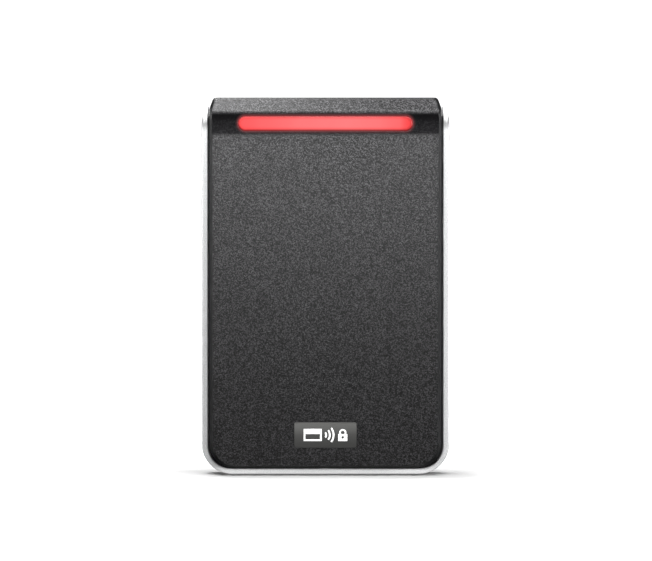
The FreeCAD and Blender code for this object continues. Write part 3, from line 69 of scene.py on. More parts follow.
class Finish:
    """A Principled material with short calls for the nodes that drive it. Patterns are in metres of the
    frame, so a grain keeps its real size."""

    def __init__(self, name, color=(0.5, 0.5, 0.5), roughness=0.5, metallic=0.0, **sockets):
        self.material = bpy.data.materials.new(name)
        self.material.use_nodes = True
        self.tree = self.material.node_tree
        self.tree.nodes.clear()
        self.shader = self.node("BsdfPrincipled")
        self.shader.inputs["Base Color"].default_value = (*color, 1)
        self.shader.inputs["Roughness"].default_value = roughness
        self.shader.inputs["Metallic"].default_value = metallic
        for socket, number in sockets.items():
            self.shader.inputs[socket.replace("_", " ")].default_value = number
        self.link(self.shader.outputs[0], self.node("OutputMaterial").inputs["Surface"])
        self.place = self.node("TexCoord").outputs["Object"]
        self.bumps = None

    def node(self, kind, **settings):
        made = self.tree.nodes.new("ShaderNode" + kind)
        for setting, number in settings.items():
            setattr(made, setting, number)
        return made

    def link(self, start, end):
        self.tree.links.new(start, end)

    def feed(self, socket, source):
        if isinstance(source, bpy.types.NodeSocket):
            self.link(source, socket)
        else:
            socket.default_value = source

    def math(self, operation, first, second=0.0, third=0.0):
        made = self.node("Math", operation=operation)
        for socket, source in zip(made.inputs, (first, second, third)):
            self.feed(socket, source)
        return made.outputs[0]

    def times(self, first, second):
        return self.math("MULTIPLY", first, second)

    def less(self, share):
        """What is left of 1."""
        return self.math("SUBTRACT", 1.0, share)

    def above(self, value, floor):
        """How far a value is past the floor, or 0."""
        return self.math("MAXIMUM", self.math("SUBTRACT", value, floor), 0.0)

    def size(self, value):
        return self.math("ABSOLUTE", value)

    def diagonal(self, first, second):
        return self.math("SQRT", self.math("ADD", self.times(first, first), self.times(second, second)))

    def axes(self, source=None):
        """The x, y and z of a vector, by default of the surface point."""
        made = self.node("SeparateXYZ")
        self.link(source or self.place, made.inputs[0])
        return made.outputs

    def normal(self):
        """The x, y and z of the surface normal in the piece's own frame."""
        return self.axes(self.node("TexCoord").outputs["Normal"])

    def stretched(self, scale):
        made = self.node("Mapping")
        self.link(self.place, made.inputs["Vector"])
        made.inputs["Scale"].default_value = scale
        return made.outputs[0]

    def noise(self, size, detail=2.0, sharpness=0.5, place=None):
        """Noise whose lumps are about size metres across, from 0 to 1."""
        made = self.node("TexNoise")
        self.link(place or self.place, made.inputs["Vector"])
        made.inputs["Scale"].default_value = 1 / size
        made.inputs["Detail"].default_value = detail
        made.inputs["Roughness"].default_value = sharpness
        return made.outputs["Fac"]

    def cells(self, size):
        """Cells about size metres across, each with its own number from 0 to 1."""
        made = self.node("TexVoronoi", feature="F1")
        self.link(self.place, made.inputs["Vector"])
        made.inputs["Scale"].default_value = 1 / size
        return self.axes(made.outputs["Color"])[0]

    def ramp(self, source, *stops):
        """Reads (place, colour or grey) stops."""
        made = self.node("ValToRGB")
        self.link(source, made.inputs[0])
        band = made.color_ramp.elements
        while len(band) < len(stops):
            band.new(0.5)
        for stop, (where, shade) in zip(band, stops):
            stop.position = where
            stop.color = (*shade, 1) if isinstance(shade, tuple) else (shade, shade, shade, 1)
        return made.outputs[0]

    def span(self, source, low, high, start=0.0, end=1.0):
        """Maps low to high onto start to end, held at both ends."""
        made = self.node("MapRange", interpolation_type="SMOOTHSTEP")
        for socket, number in zip(made.inputs, (source, low, high, start, end)):
            self.feed(socket, number)
        return made.outputs[0]

    def mix(self, share, first, second, blend="MIX"):
        made = self.node("Mix", data_type="RGBA", blend_type=blend)
        self.feed(made.inputs[0], share)
        for socket, source in ((made.inputs[6], first), (made.inputs[7], second)):
            self.feed(socket, (*source, 1) if isinstance(source, tuple) else source)
        return made.outputs[2]

    def color(self, source):
        self.link(source, self.shader.inputs["Base Color"])
        return self

    def roughness(self, source):
        self.link(source, self.shader.inputs["Roughness"])
        return self

    def bump(self, height, depth, strength=1.0):
        """Adds relief whose full height is depth metres."""
        made = self.node("Bump")
        made.inputs["Strength"].default_value = strength
        made.inputs["Distance"].default_value = depth
        self.link(height, made.inputs["Height"])
        if self.bumps:
            self.link(self.bumps, made.inputs["Normal"])
        self.bumps = made.outputs[0]
        self.link(self.bumps, self.shader.inputs["Normal"])
        return self


# ---------------------------------------------------------------- finishes of the outside

def moulded(name, color, roughness, grain=0.3 * MM, relief=0.015 * MM, spread=0.12, **sockets):
    """Moulded plastic: a fine grain, faint flow marks and patches that are a little duller."""
    finish = Finish(name, color, roughness, **sockets)
    fine, flow = finish.noise(grain, 3), finish.noise(14 * MM, 2)
    dark = tuple(c * (1 - spread) for c in color)
    light = tuple(min(c * (1 + spread), 1) for c in color)
    finish.color(finish.mix(finish.math("MULTIPLY_ADD", fine, 0.6, finish.times(flow, 0.4)), dark, light))
    finish.roughness(finish.math("MULTIPLY_ADD", flow, 0.16, roughness - 0.08))
    return finish.bump(fine, relief, 0.5)


def metal(name, color, roughness, grain=0.12 * MM, brushed=(1, 1, 1), metallic=1.0):
    """Bare or plated metal with a drawn or blasted grain and faint handling marks."""
    finish = Finish(name, color, roughness, metallic)
    fine = finish.noise(grain, 3, place=finish.stretched(brushed))
    marks = finish.noise(5 * MM, 4, 0.65)
    finish.color(finish.mix(marks, tuple(c * 0.84 for c in color), tuple(min(c * 1.1, 1) for c in color)))
    finish.roughness(finish.math("MULTIPLY_ADD", finish.times(marks, fine), 0.4, roughness - 0.1))
    return finish.bump(fine, 0.004 * MM, 0.6)


def satin_silver():
    """Powder-coated plate: pale grey with a metallic fleck and a very fine orange peel. Where the rim's ends
    turn up it carries a painted dark reflection, its flanks a painted shade, and its foot a painted glow that
    stands in for light bounced from the white floor."""
    finish = Finish("satin_silver", roughness=0.42, metallic=0.35)
    fleck, cloud = finish.noise(0.35 * MM, 2), finish.noise(9 * MM, 3)
    shade = finish.mix(fleck, (0.52, 0.525, 0.53), (0.99, 0.995, 1.0))
    _, _, z = finish.axes()
    # painted dark reflection: the colour is darkened between z 49.6 and 56.6 mm, where the rim's ends turn up
    painted_dark_reflection = finish.times(finish.span(z, 49.6 * MM, 52.6 * MM), finish.span(z, 56.6 * MM, 53.4 * MM))
    shade = finish.mix(finish.times(painted_dark_reflection, 0.85), shade, (0.10, 0.10, 0.102))
    shade = finish.mix(finish.times(cloud, 0.16), shade, (0.62, 0.62, 0.63))
    side, front, _ = finish.normal()
    # painted shade: the colour is darker where the surface faces sideways, more so on the left-facing side
    painted_flank_shade = finish.times(finish.span(side, 0.06, 0.55, 1.0, 0.5), finish.span(side, -0.1, -0.6, 1.0, 0.64))
    finish.color(finish.mix(1.0, shade, painted_flank_shade, "MULTIPLY"))
    # painted bounce light: a glow on the front and lower faces of the plate's foot stands in for light from
    # the white floor
    finish.shader.inputs["Emission Color"].default_value = (1, 1, 1, 1)
    painted_floor_bounce = finish.times(finish.span(z, LOW.z + 4.5 * MM, LOW.z + 0.4 * MM, 0.0, 0.24),
                          finish.span(front, -0.1, -0.5))
    finish.link(painted_floor_bounce, finish.shader.inputs["Emission Strength"])
    finish.roughness(finish.math("MULTIPLY_ADD", fleck, 0.22, 0.32))
    return finish.bump(fleck, 0.012 * MM, 0.5).bump(finish.noise(1.1 * MM, 1), 0.02 * MM, 0.25)


def from_bar(finish, x, z):
    """Distance from the light bar's centre line, over the face."""
    low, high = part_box("light_bar_lens")
    past = finish.above(finish.size(x), BAR_STRAIGHT)
    return finish.diagonal(past, finish.math("SUBTRACT", z, (low.z + high.z) / 2))


def halo(finish, x, z):
    """Red light that the glowing bar throws on the plastic just round it, as a colour."""
    reach = finish.span(from_bar(finish, x, z), BAR_RADIUS, BAR_RADIUS + 1.1 * MM)
    return finish.ramp(reach, (0.0, (0.16, 0.045, 0.048)), (0.35, (0.05, 0.012, 0.013)), (1.0, 0.0))


def shine_of_cover(finish, x, z, face, edge, flat_side, painted_light_falloff):
    """How strongly the cover mirrors: least in the trough, on the round edges and at the lip's right."""
    hollow = finish.times(finish.span(z, 46.2 * MM, 49.6 * MM), finish.span(z, 56.8 * MM, 54.4 * MM))
    lip = finish.times(finish.span(z, 55.6 * MM, 57.2 * MM), finish.span(x, -34 * MM, 30 * MM, -0.15, 0.74))
    shine = finish.times(finish.math("MULTIPLY_ADD", face, 0.88, 0.12), finish.less(hollow))
    shine = finish.times(shine, finish.less(edge))
    shine = finish.math("MAXIMUM", shine, finish.times(flat_side, 0.03))
    return finish.times(finish.times(finish.times(shine, finish.less(lip)), painted_light_falloff), 0.40)


def black_cover():
    """Black plastic with spark-eroded grain on the face and fainter grain on the flat sides. The scooped
    trough carries little grain and is darker, a painted shade. The round edges are nearly smooth, and the
    right and lower ones are kept darker than the left, a painted shade. The face is painted darker towards
    the bottom, a painted light falloff."""
    finish = Finish("black_cover", roughness=0.5)
    x, _, z = finish.axes()
    side, front, up = finish.normal()
    face = finish.math("MAXIMUM", finish.span(finish.size(front), 0.45, 0.66), finish.span(up, 0.35, 0.6))
    # the round edges are nearly smooth and carry less grain; the right and lower ones are kept darker than
    # the left, a painted shade
    right_edge, left_edge = finish.span(side, 0.12, 0.34, 0.0, 0.95), finish.span(side, -0.2, -0.42, 0.0, 0.7)
    edge = finish.math("MAXIMUM", finish.math("MAXIMUM", right_edge, left_edge),
                       finish.span(up, -0.1, -0.3, 0.0, 0.95))
    flat_side = finish.span(finish.size(side), 0.72, 0.96)
    # painted light falloff: the grain colour and the shine are made weaker towards the bottom of the cover
    painted_light_falloff = finish.span(z, LOW.z, 46 * MM, 0.42, 1.0)
    finish.link(shine_of_cover(finish, x, z, face, edge, flat_side, painted_light_falloff),
                finish.shader.inputs["Specular IOR Level"])
    # painted shade: the trough loses most of its grain, which leaves its colour near black
    trough = finish.times(finish.span(z, 47 * MM, 49.5 * MM), finish.span(z, 56.4 * MM, 55.2 * MM))
    grain_with_painted_shade = finish.times(face, finish.less(finish.times(trough, 0.85)))
    grain_with_painted_shade = finish.times(grain_with_painted_shade, finish.math("MULTIPLY_ADD", edge, -0.8, 1.0))
    grain_with_painted_shade = finish.math("MAXIMUM", grain_with_painted_shade, finish.times(flat_side, 0.28))
    height = finish.math("MULTIPLY_ADD", finish.cells(0.27 * MM), 0.6,
                         finish.times(finish.noise(0.5 * MM, 3, 0.7), 0.4))
    grain = finish.ramp(height, (0.2, (0.0008, 0.0008, 0.0008)), (0.5, (0.0097, 0.0096, 0.0101)),
                        (0.82, (0.064, 0.063, 0.066)))
    # painted light falloff: the grain is darker towards the bottom
    grain = finish.mix(1.0, grain, finish.math("MULTIPLY_ADD", painted_light_falloff, 0.75, 0.25), "MULTIPLY")
    finish.color(finish.mix(grain_with_painted_shade, (0.0045, 0.0045, 0.0048), grain))
    finish.link(halo(finish, x, z), finish.shader.inputs["Emission Color"])
    finish.shader.inputs["Emission Strength"].default_value = 1.0
    finish.roughness(finish.math("MULTIPLY_ADD", grain_with_painted_shade, 0.18, 0.36))
    finish.bump(finish.times(height, grain_with_painted_shade), 0.05 * MM, 0.9)
    return finish.bump(finish.noise(9 * MM, 2), 0.03 * MM, 0.12)


def red_lens():
    """The glowing bar: milky red, a little cooler at its ends and fading at its moulded edge."""
    finish = Finish("red_lens", (0.12, 0.004, 0.005), 0.4, Specular_IOR_Level=0.25)
    x, _, z = finish.axes()
    away = finish.math("DIVIDE", from_bar(finish, x, z), BAR_RADIUS)
    edge = finish.ramp(away, (0.0, 1.0), (0.42, 1.0), (0.52, 0.94), (0.66, 0.75), (0.80, 0.48), (0.92, 0.24),
                       (1.0, 0.1))
    along = finish.span(x, -28 * MM, 28 * MM)
    glow = finish.ramp(along, (0.0, (1.0, 0.092, 0.094)), (0.04, (1.0, 0.118, 0.120)),
                       (0.28, (1.0, 0.170, 0.172)), (0.70, (1.0, 0.192, 0.194)), (0.906, (1.0, 0.170, 0.172)),
                       (0.985, (1.0, 0.130, 0.132)), (1.0, (0.62, 0.045, 0.045)))
    patch = finish.math("MULTIPLY_ADD", finish.noise(3 * MM, 2), 0.06, 0.97)
    finish.link(finish.mix(1.0, glow, finish.mix(1.0, edge, patch, "MULTIPLY"), "MULTIPLY"),
                finish.shader.inputs["Emission Color"])
    finish.shader.inputs["Emission Strength"].default_value = 1.0
    return finish.bump(finish.noise(0.5 * MM, 2), 0.01 * MM, 0.3)


def grey_badge():
    """Satin grey badge, paler towards its top left, with fine level brushing."""
    finish = Finish("grey_badge", roughness=0.42, metallic=0.2)
    low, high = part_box("badge_plate")
    x, _, z = finish.axes()
    brushing = finish.noise(0.5 * MM, 3, place=finish.stretched((0.06, 1, 1.6)))
    lit = finish.math("MULTIPLY_ADD", x, -3.5, finish.span(z, low.z, high.z))
    shade = finish.ramp(lit, (0.0, (0.026, 0.026, 0.025)), (0.5, (0.050, 0.050, 0.048)),
                        (1.0, (0.108, 0.108, 0.104)))
    finish.color(finish.mix(finish.times(brushing, 0.3), shade, (0.05, 0.05, 0.048)))
    finish.roughness(finish.math("MULTIPLY_ADD", brushing, 0.2, 0.34))
    return finish.bump(brushing, 0.004 * MM, 0.4)


def green_board():
    """Solder mask over copper: darker where it lies on the laminate, with level and upright tracks."""
    finish = Finish("green_board", roughness=0.3, Coat_Weight=0.4, Coat_Roughness=0.15)
    x, _, z = finish.axes()
    tracks = []
    for axis in (x, z):
        wave = finish.math("FRACT", finish.times(axis, 1 / (0.9 * MM)))
        tracks.append(finish.span(finish.size(finish.math("SUBTRACT", wave, 0.5)), 0.16, 0.20))
    chosen = finish.mix(finish.math("GREATER_THAN", finish.cells(5.5 * MM), 0.5), *tracks)
    shade = finish.mix(chosen, (0.035, 0.20, 0.085), (0.012, 0.105, 0.045))
    finish.color(finish.mix(finish.times(finish.noise(2 * MM, 2), 0.35), shade, (0.02, 0.13, 0.05)))
    finish.roughness(finish.math("MULTIPLY_ADD", finish.noise(3 * MM, 3), 0.2, 0.22))
    return finish.bump(chosen, -0.03 * MM, 0.6)


def blank_label():
    """Paper label with a printed border and empty ruled boxes; nothing is written on it."""
    finish = Finish("blank_label", roughness=0.6)
    low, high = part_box("rating_label")
    x, _, z = finish.axes()
    across = finish.math("DIVIDE", finish.math("SUBTRACT", x, low.x), high.x - low.x)
    rise = finish.math("DIVIDE", finish.math("SUBTRACT", z, low.z), high.z - low.z)

    def line(value, where, half):
        return finish.span(finish.size(finish.math("SUBTRACT", value, where)), half, half * 0.8)

    def within(value, start, end):
        return finish.times(finish.math("GREATER_THAN", value, start), finish.math("LESS_THAN", value, end))

    inked = None
    for value, where, half, other, start, end in (
        (rise, 0.08, 0.015, across, 0.03, 0.97), (rise, 0.92, 0.015, across, 0.03, 0.97),
        (rise, 0.50, 0.010, across, 0.03, 0.62), (across, 0.03, 0.005, rise, 0.08, 0.92),
        (across, 0.97, 0.005, rise, 0.08, 0.92), (across, 0.62, 0.004, rise, 0.08, 0.92),
    ):
        stroke = finish.times(line(value, where, half), within(other, start, end))
        inked = stroke if inked is None else finish.math("MAXIMUM", inked, stroke)
    fibre = finish.noise(0.25 * MM, 3, 0.7)
    paper = finish.mix(fibre, (0.70, 0.70, 0.69), (0.86, 0.86, 0.85))
    finish.color(finish.mix(inked, paper, (0.05, 0.05, 0.055)))
    finish.roughness(finish.math("MULTIPLY_ADD", fibre, 0.2, 0.45))
    return finish.bump(fibre, 0.006 * MM, 0.5)


def winding(name, color, pitch):
    """Enamelled wire laid side by side along the coil's depth."""
    finish = Finish(name, color, 0.28, 0.9, Coat_Weight=0.6, Coat_Roughness=0.1)
    _, y, _ = finish.axes()
    turn = finish.math("FRACT", finish.times(y, 1 / pitch))
    wire_profile_and_groove_shade = finish.math("SINE", finish.times(turn, math.pi))
    # painted shade: the colour darkens in the grooves between the turns of wire
    finish.color(finish.mix(wire_profile_and_groove_shade, tuple(c * 0.35 for c in color), color))
    finish.roughness(finish.math("MULTIPLY_ADD", finish.noise(2 * MM, 2), 0.15, 0.22))
    return finish.bump(wire_profile_and_groove_shade, 0.08 * MM, 0.9)


def clear(name, color, roughness):
    """Clear moulded plastic with faint flow lines."""
    finish = Finish(name, color, roughness, Transmission_Weight=0.9, IOR=1.49)
    flow = finish.noise(4 * MM, 3)
    finish.color(finish.mix(flow, tuple(c * 0.93 for c in color), color))
    finish.roughness(finish.math("MULTIPLY_ADD", flow, 0.08, roughness))
    return finish.bump(flow, 0.02 * MM, 0.3)


SURFACES = {}
FINISHES = {
    "satin_silver": satin_silver,
    "black_cover": black_cover,
    "red_lens": red_lens,
    "grey_badge": grey_badge,
    "white_print": lambda: moulded("white_print", (0.93, 0.93, 0.92), 0.35, 0.2 * MM, 0.003 * MM, 0.03),
    "clear_plastic": lambda: clear("clear_plastic", (0.93, 0.95, 0.95), 0.08),
    "white_plastic": lambda: moulded("white_plastic", (0.82, 0.82, 0.80), 0.5, 0.3 * MM, 0.01 * MM, 0.05),
    "led_white": lambda: moulded("led_white", (0.85, 0.80, 0.55), 0.25, 0.2 * MM, 0.004 * MM, 0.08,
                                 Coat_Weight=0.5),
    "green_board": green_board,
    "steel": lambda: metal("steel", (0.60, 0.60, 0.59), 0.32, 0.15 * MM, (1, 1, 0.2)),
    "copper": lambda: metal("copper", (0.80, 0.42, 0.22), 0.34, 0.2 * MM),
    "enamelled_copper": lambda: winding("enamelled_copper", (0.62, 0.24, 0.09), 0.3 * MM),
    "ferrite": lambda: moulded("ferrite", (0.035, 0.034, 0.037), 0.55, 0.35 * MM, 0.03 * MM, 0.4),
    "chip_black": lambda: moulded("chip_black", (0.018, 0.018, 0.02), 0.55, 0.15 * MM, 0.015 * MM, 0.25),
    "module_can": lambda: metal("module_can", (0.66, 0.66, 0.64), 0.3, 0.3 * MM, (0.1, 1, 1)),
    "crystal_can": lambda: metal("crystal_can", (0.74, 0.73, 0.70), 0.22, 0.2 * MM),
    "capacitor_can": lambda: metal("capacitor_can", (0.72, 0.72, 0.73), 0.25, 0.2 * MM, (1, 0.1, 1)),
    "ceramic_tan": lambda: moulded("ceramic_tan", (0.36, 0.24, 0.15), 0.4, 0.12 * MM, 0.01 * MM, 0.2),
    "sounder_black": lambda: moulded("sounder_black", (0.02, 0.02, 0.021), 0.42, 0.25 * MM, 0.012 * MM, 0.2),
    "sensor_smoke": lambda: moulded("sensor_smoke", (0.03, 0.018, 0.03), 0.12, 0.3 * MM, 0.003 * MM, 0.3,
                                    Coat_Weight=0.7),
    "black_housing": lambda: moulded("black_housing", (0.028, 0.028, 0.030), 0.46, 0.32 * MM, 0.03 * MM, 0.3),
    "seal_rubber": lambda: moulded("seal_rubber", (0.05, 0.05, 0.052), 0.75, 0.2 * MM, 0.02 * MM, 0.2),
    "black_screw": lambda: metal("black_screw", (0.05, 0.05, 0.055), 0.38, 0.15 * MM, metallic=0.8),
    "brass": lambda: metal("brass", (0.78, 0.58, 0.26), 0.28, 0.15 * MM),
    "blank_label": blank_label,
    "header_black": lambda: moulded("header_black", (0.022, 0.022, 0.024), 0.4, 0.3 * MM, 0.02 * MM, 0.25),
    "tinned_pins": lambda: metal("tinned_pins", (0.76, 0.75, 0.72), 0.24, 0.1 * MM, (1, 0.15, 1)),
    "plug_green": lambda: moulded("plug_green", (0.04, 0.26, 0.11), 0.4, 0.28 * MM, 0.02 * MM, 0.2),
    "cage_metal": lambda: metal("cage_metal", (0.70, 0.66, 0.52), 0.3, 0.12 * MM),
}


def dress_nodes():
    """Every node keeps the slot that the record gave it and gets that slot's finish."""
    for node in NODES.values():
        for number, old in enumerate(node.data.materials):
            if old.name not in SURFACES:
                SURFACES[old.name] = FINISHES[old.name]().material
            node.data.materials[number] = SURFACES[old.name]


def soften(width, *names):
    """Rounds the sharp edges of CAD nodes by a width in millimetres."""
    for name in names:
        weld = NODES[name].modifiers.new("weld", "WELD")
        weld.merge_threshold = 1e-6
        round_off = NODES[name].modifiers.new("round_off", "BEVEL")
        round_off.width = width * MM
        round_off.segments = 2
        round_off.limit_method = "ANGLE"
        round_off.angle_limit = math.radians(50)
        round_off.use_clamp_overlap = True


# ---------------------------------------------------------------- shapes of the detailed pieces

def middle_of(low, high, y):
    """The point above the middle of a solid's plan, at the depth y."""
    return ((low.x + high.x) / 2, y, (low.z + high.z) / 2)


class Shape:
    """A mesh put together in millimetres of the frame, then made into a piece."""

    def __init__(self):
        self.mesh = bmesh.new()

    def stack(self, rings, centre, along, count=48, turn=0.0, hollow=False):
        """Rings about an axis, joined in order. Each is (radius, distance from the centre), and a radius may
        be a function of the angle and the distance. The ends are closed, or joined to each other."""
        frame_of = Vector(along).to_track_quat("Z", "Y")
        made = []
        for radius, distance in rings:
            ring = []
            for step in range(count):
                angle = math.tau * step / count + turn
                reach = radius(angle, distance) if callable(radius) else radius
                point = Vector((reach * math.cos(angle), reach * math.sin(angle), distance))
                ring.append(self.mesh.verts.new(Vector(centre) + frame_of @ point))
            made.append(ring)
        pairs = list(zip(made, made[1:]))
        if hollow:
            pairs.append((made[-1], made[0]))
        else:
            self.mesh.faces.new(made[0][::-1])
            self.mesh.faces.new(made[-1])
        for first, second in pairs:
            for step in range(count):
                after = (step + 1) % count
                self.mesh.faces.new((first[step], first[after], second[after], second[step]))

    def block(self, low, high, bevel=0.1):
        """A box between two corners, with rounded edges."""
        corners = bmesh.ops.create_cube(self.mesh, size=1)["verts"]
        low, high = Vector(low), Vector(high)
        for corner in corners:
            corner.co = (low + high) / 2 + corner.co * (high - low)
        edges = list({edge for corner in corners for edge in corner.link_edges})
        bmesh.ops.bevel(self.mesh, geom=edges, offset=bevel, segments=2, profile=0.5, affect="EDGES")

    def ribbon(self, points, half_width, thick):
        """A flat strip bent through (x, y) points, as wide as 2 half_width along Z about the third number."""
        turns = []
        for number, (x, y, z) in enumerate(points):
            before, after = points[max(number - 1, 0)], points[min(number + 1, len(points) - 1)]
            along = Vector((after[0] - before[0], after[1] - before[1])).normalized()
            side = Vector((-along.y, along.x)) * thick / 2
            turns.append([self.mesh.verts.new((x + sign * side.x, y + sign * side.y, z + rise))
                          for sign, rise in ((1, -half_width), (-1, -half_width), (-1, half_width),
                                             (1, half_width))])
        for first, second in zip(turns, turns[1:]):
            for step in range(4):
                after = (step + 1) % 4
                self.mesh.faces.new((first[step], first[after], second[after], second[step]))
        self.mesh.faces.new(turns[0][::-1])
        self.mesh.faces.new(turns[-1])

    def piece(self, name, slot, body, *nodes):
        """Makes the object, which rides a body and stands for any nodes named."""
        bmesh.ops.recalc_face_normals(self.mesh, faces=self.mesh.faces)
        bmesh.ops.scale(self.mesh, vec=(MM, MM, MM), verts=self.mesh.verts)
        data = bpy.data.meshes.new(name)
        self.mesh.to_mesh(data)
        self.mesh.free()
        data.shade_smooth()
        data.set_sharp_from_angle(angle=math.radians(35))
        data.materials.append(SURFACES[slot])
        thing = bpy.data.objects.new(name, data)
        bpy.context.scene.collection.objects.link(thing)
        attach(thing, body)
        if nodes:
            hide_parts(*nodes)


def hexagon(corner):
    return lambda angle, distance: (corner * math.cos(math.pi / 6)
                                    / math.cos(angle % (math.pi / 3) - math.pi / 6))


def lobes(radius):
    return lambda angle, distance: radius * (1 + 0.16 * math.cos(6 * angle))


def slot_shape(half, reach):
    return lambda angle, distance: min(reach, half / max(abs(math.sin(angle)), 1e-6))


def squarish(half_x, half_z, power=6):
    """A rounded rectangle as a radius."""
    return lambda angle, distance: (abs(math.cos(angle) / half_x) ** power
                                    + abs(math.sin(angle) / half_z) ** power) ** (-1 / power)


def knurl(radius):
    return lambda angle, distance: radius - 0.14 * abs(math.sin(16 * angle))


def threaded(radius, depth, pitch, start, end):
    """The rings of a screw thread between two distances."""
    def reach(angle, distance):
        return radius - depth * (0.5 - 0.5 * math.cos(math.tau * distance / pitch - angle))

    count = math.ceil((end - start) / pitch * 8)
    return [(reach, start + (end - start) * step / count) for step in range(count + 1)]


def screw_rings(drive, wider, recess, head, high, thread, length, pitch):
    """A pan-head screw from the bottom of its recess, over the head and down the thread to its tip."""
    rings = [(drive, recess), (drive, 0.08), (wider, 0), (head * 0.72, 0), (head * 0.92, high * 0.1),
             (head, high * 0.32), (head, high - 0.12), (head - 0.12, high), (thread * 0.86, high)]
    rings += threaded(thread, thread * 0.16, pitch, high + 0.15, length - 0.5)
    return rings + [(thread * 0.72, length - 0.3), (thread * 0.45, length)]


def islands(node):
    """The lowest and highest corners, in millimetres, of each separate solid in a CAD node."""
    shape = bmesh.new()
    shape.from_mesh(NODES[node].data)
    bmesh.ops.remove_doubles(shape, verts=shape.verts, dist=1e-6)
    seen, found = set(), []
    for start in shape.verts:
        if start in seen:
            continue
        seen.add(start)
        waiting, points = [start], []
        while waiting:
            here = waiting.pop()
            points.append(here.co / MM)
            for edge in here.link_edges:
                there = edge.other_vert(here)
                if there not in seen:
                    seen.add(there)
                    waiting.append(there)
        found.append((Vector(map(min, *points)), Vector(map(max, *points))))
    shape.free()
    return found


# ---------------------------------------------------------------- detailed pieces

def security_screw():
    """A pan-head screw with a pinned hex recess, and the knurled brass insert that it turns in."""
    (low, high), = islands("security_screw")
    centre = ((low.x + high.x) / 2, (low.y + high.y) / 2, low.z)
    length = high.z - low.z
    rings = [(0.36, 0.08), (0.45, 0.17), (0.45, 1.2), (hexagon(1.40), 1.2), (hexagon(1.40), 0.12),
             (hexagon(1.50), 0), (2.35, 0), (2.66, 0.12), (2.8, 0.4), (2.8, 1.86), (2.66, 2), (1.5, 2)]
    rings += threaded(1.72, 0.3, 0.79375, 2.1, length - 0.5) + [(1.3, length - 0.3), (1.05, length)]
    screw = Shape()
    screw.stack(rings, centre, (0, 0, 1))
    screw.piece("security_screw_turned", "black_screw", "security_screw", "security_screw")

    (low, high), = islands("threaded_insert")
    centre = ((low.x + high.x) / 2, (low.y + high.y) / 2, low.z)
    insert = Shape()
    insert.stack([(2.0, 0), (2.2, 0), (knurl(2.4), 0.25), (knurl(2.4), 1.65), (2.15, 1.8), (2.15, 2.7),
                  (knurl(2.4), 2.85), (knurl(2.4), 4.25), (2.2, 4.5), (2.0, 4.5), (1.8, 4.3), (1.8, 0.2)],
                 centre, (0, 0, 1), count=96, hollow=True)
    insert.piece("threaded_insert_knurled", "brass", "reader", "threaded_insert")


def small_screws():
    """The lobed housing and board screws, and the slotted screws of the clamps."""
    for node, drive, recess, high_part, thread, pitch, slot in (
        ("housing_screws", 0.82, 1.0, 1.8, 1.05, 0.9, "black_screw"),
        ("board_screws", 0.72, 0.8, 1.5, 0.98, 0.8, "steel"),
    ):
        group = Shape()
        for low, high in islands(node):
            rings = screw_rings(lobes(drive), lobes(drive + 0.08), recess, (high.x - low.x) / 2, high_part,
                                thread, high.y - low.y, pitch)
            group.stack(rings, middle_of(low, high, high.y), (0, -1, 0))
        group.piece(node + "_lobed", slot, "reader", node)

    for number in range(1, 11):
        node = f"clamp_screw_{number}"
        (low, high), = islands(node)
        screw = Shape()
        screw.stack(screw_rings(slot_shape(0.24, 1.1), slot_shape(0.28, 1.14), 0.55, 1.35, 1.0, 0.95,
                                high.y - low.y, 0.4), middle_of(low, high, high.y), (0, -1, 0), count=64)
        screw.piece(node + "_slotted", "steel", node, node)


def chips():
    """Moulded bodies with bent legs on both upright sides, and a ring moulded at the first one."""
    for node, legs in (("main_processor", 12), ("rfid_chip", 7), ("secure_element", 4), ("line_driver", 4),
                       ("voltage_regulator", 3)):
        low, high = (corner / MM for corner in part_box(node))
        reach = 0.8
        body = Shape()
        body.block((low.x + reach, low.y + 0.1, low.z), (high.x - reach, high.y, high.z), 0.14)
        mark = (low.x + reach + 0.9, high.y, high.z - 0.9)
        body.stack([(0.28, -0.05), (0.28, 0.02), (0.40, 0.02), (0.40, -0.05)], mark, (0, 1, 0), 24,
                   hollow=True)
        body.piece(node + "_moulded", "chip_black", "reader", node)
        feet = Shape()
        middle, foot = (low.y + high.y) / 2, low.y + 0.07
        for side, edge in ((-1, low.x + reach), (1, high.x - reach)):
            for number in range(legs):
                z = low.z + 0.3 + (high.z - low.z - 0.6) * number / (legs - 1)
                outline = ((-0.1, middle), (0.2, middle), (0.36, foot + 0.12), (0.45, foot), (0.8, foot))
                feet.ribbon([(edge + side * x, y, z) for x, y in outline], 0.13, 0.13)
        feet.piece(node + "_legs", "tinned_pins", "reader")


def chip_capacitors():
    ceramics, ends = Shape(), Shape()
    for low, high in islands("chip_capacitors"):
        ceramics.block(low + Vector((0.03, 0, 0.25)), high - Vector((0.03, 0.03, 0.25)), 0.05)
        ends.block(low, (high.x, high.y, low.z + 0.35), 0.07)
        ends.block((low.x, low.y, high.z - 0.35), high, 0.07)
    ceramics.piece("chip_capacitor_bodies", "ceramic_tan", "reader", "chip_capacitors")
    ends.piece("chip_capacitor_ends", "tinned_pins", "reader")


def surge_and_sensor():
    """Smoky bodies, each with a strap folded under it on both sides."""
    bodies, straps = Shape(), Shape()
    for low, high in islands("surge_protectors") + islands("tamper_sensor"):
        bodies.block(low + Vector((0.2, 0.05, 0)), high - Vector((0.2, 0, 0)), 0.12)
        z = (low.z + high.z) / 2
        for side, edge in ((-1, low.x + 0.2), (1, high.x - 0.2)):
            outline = ((-0.05, 0.6), (0.08, 0.6), (0.12, 0.5), (0.12, 0.06), (-0.3, 0.06))
            straps.ribbon([(edge + side * x, low.y + y, z) for x, y in outline], 0.55, 0.12)
    bodies.piece("surge_and_sensor_bodies", "sensor_smoke", "reader", "surge_protectors", "tamper_sensor")
    straps.piece("surge_and_sensor_straps", "tinned_pins", "reader")


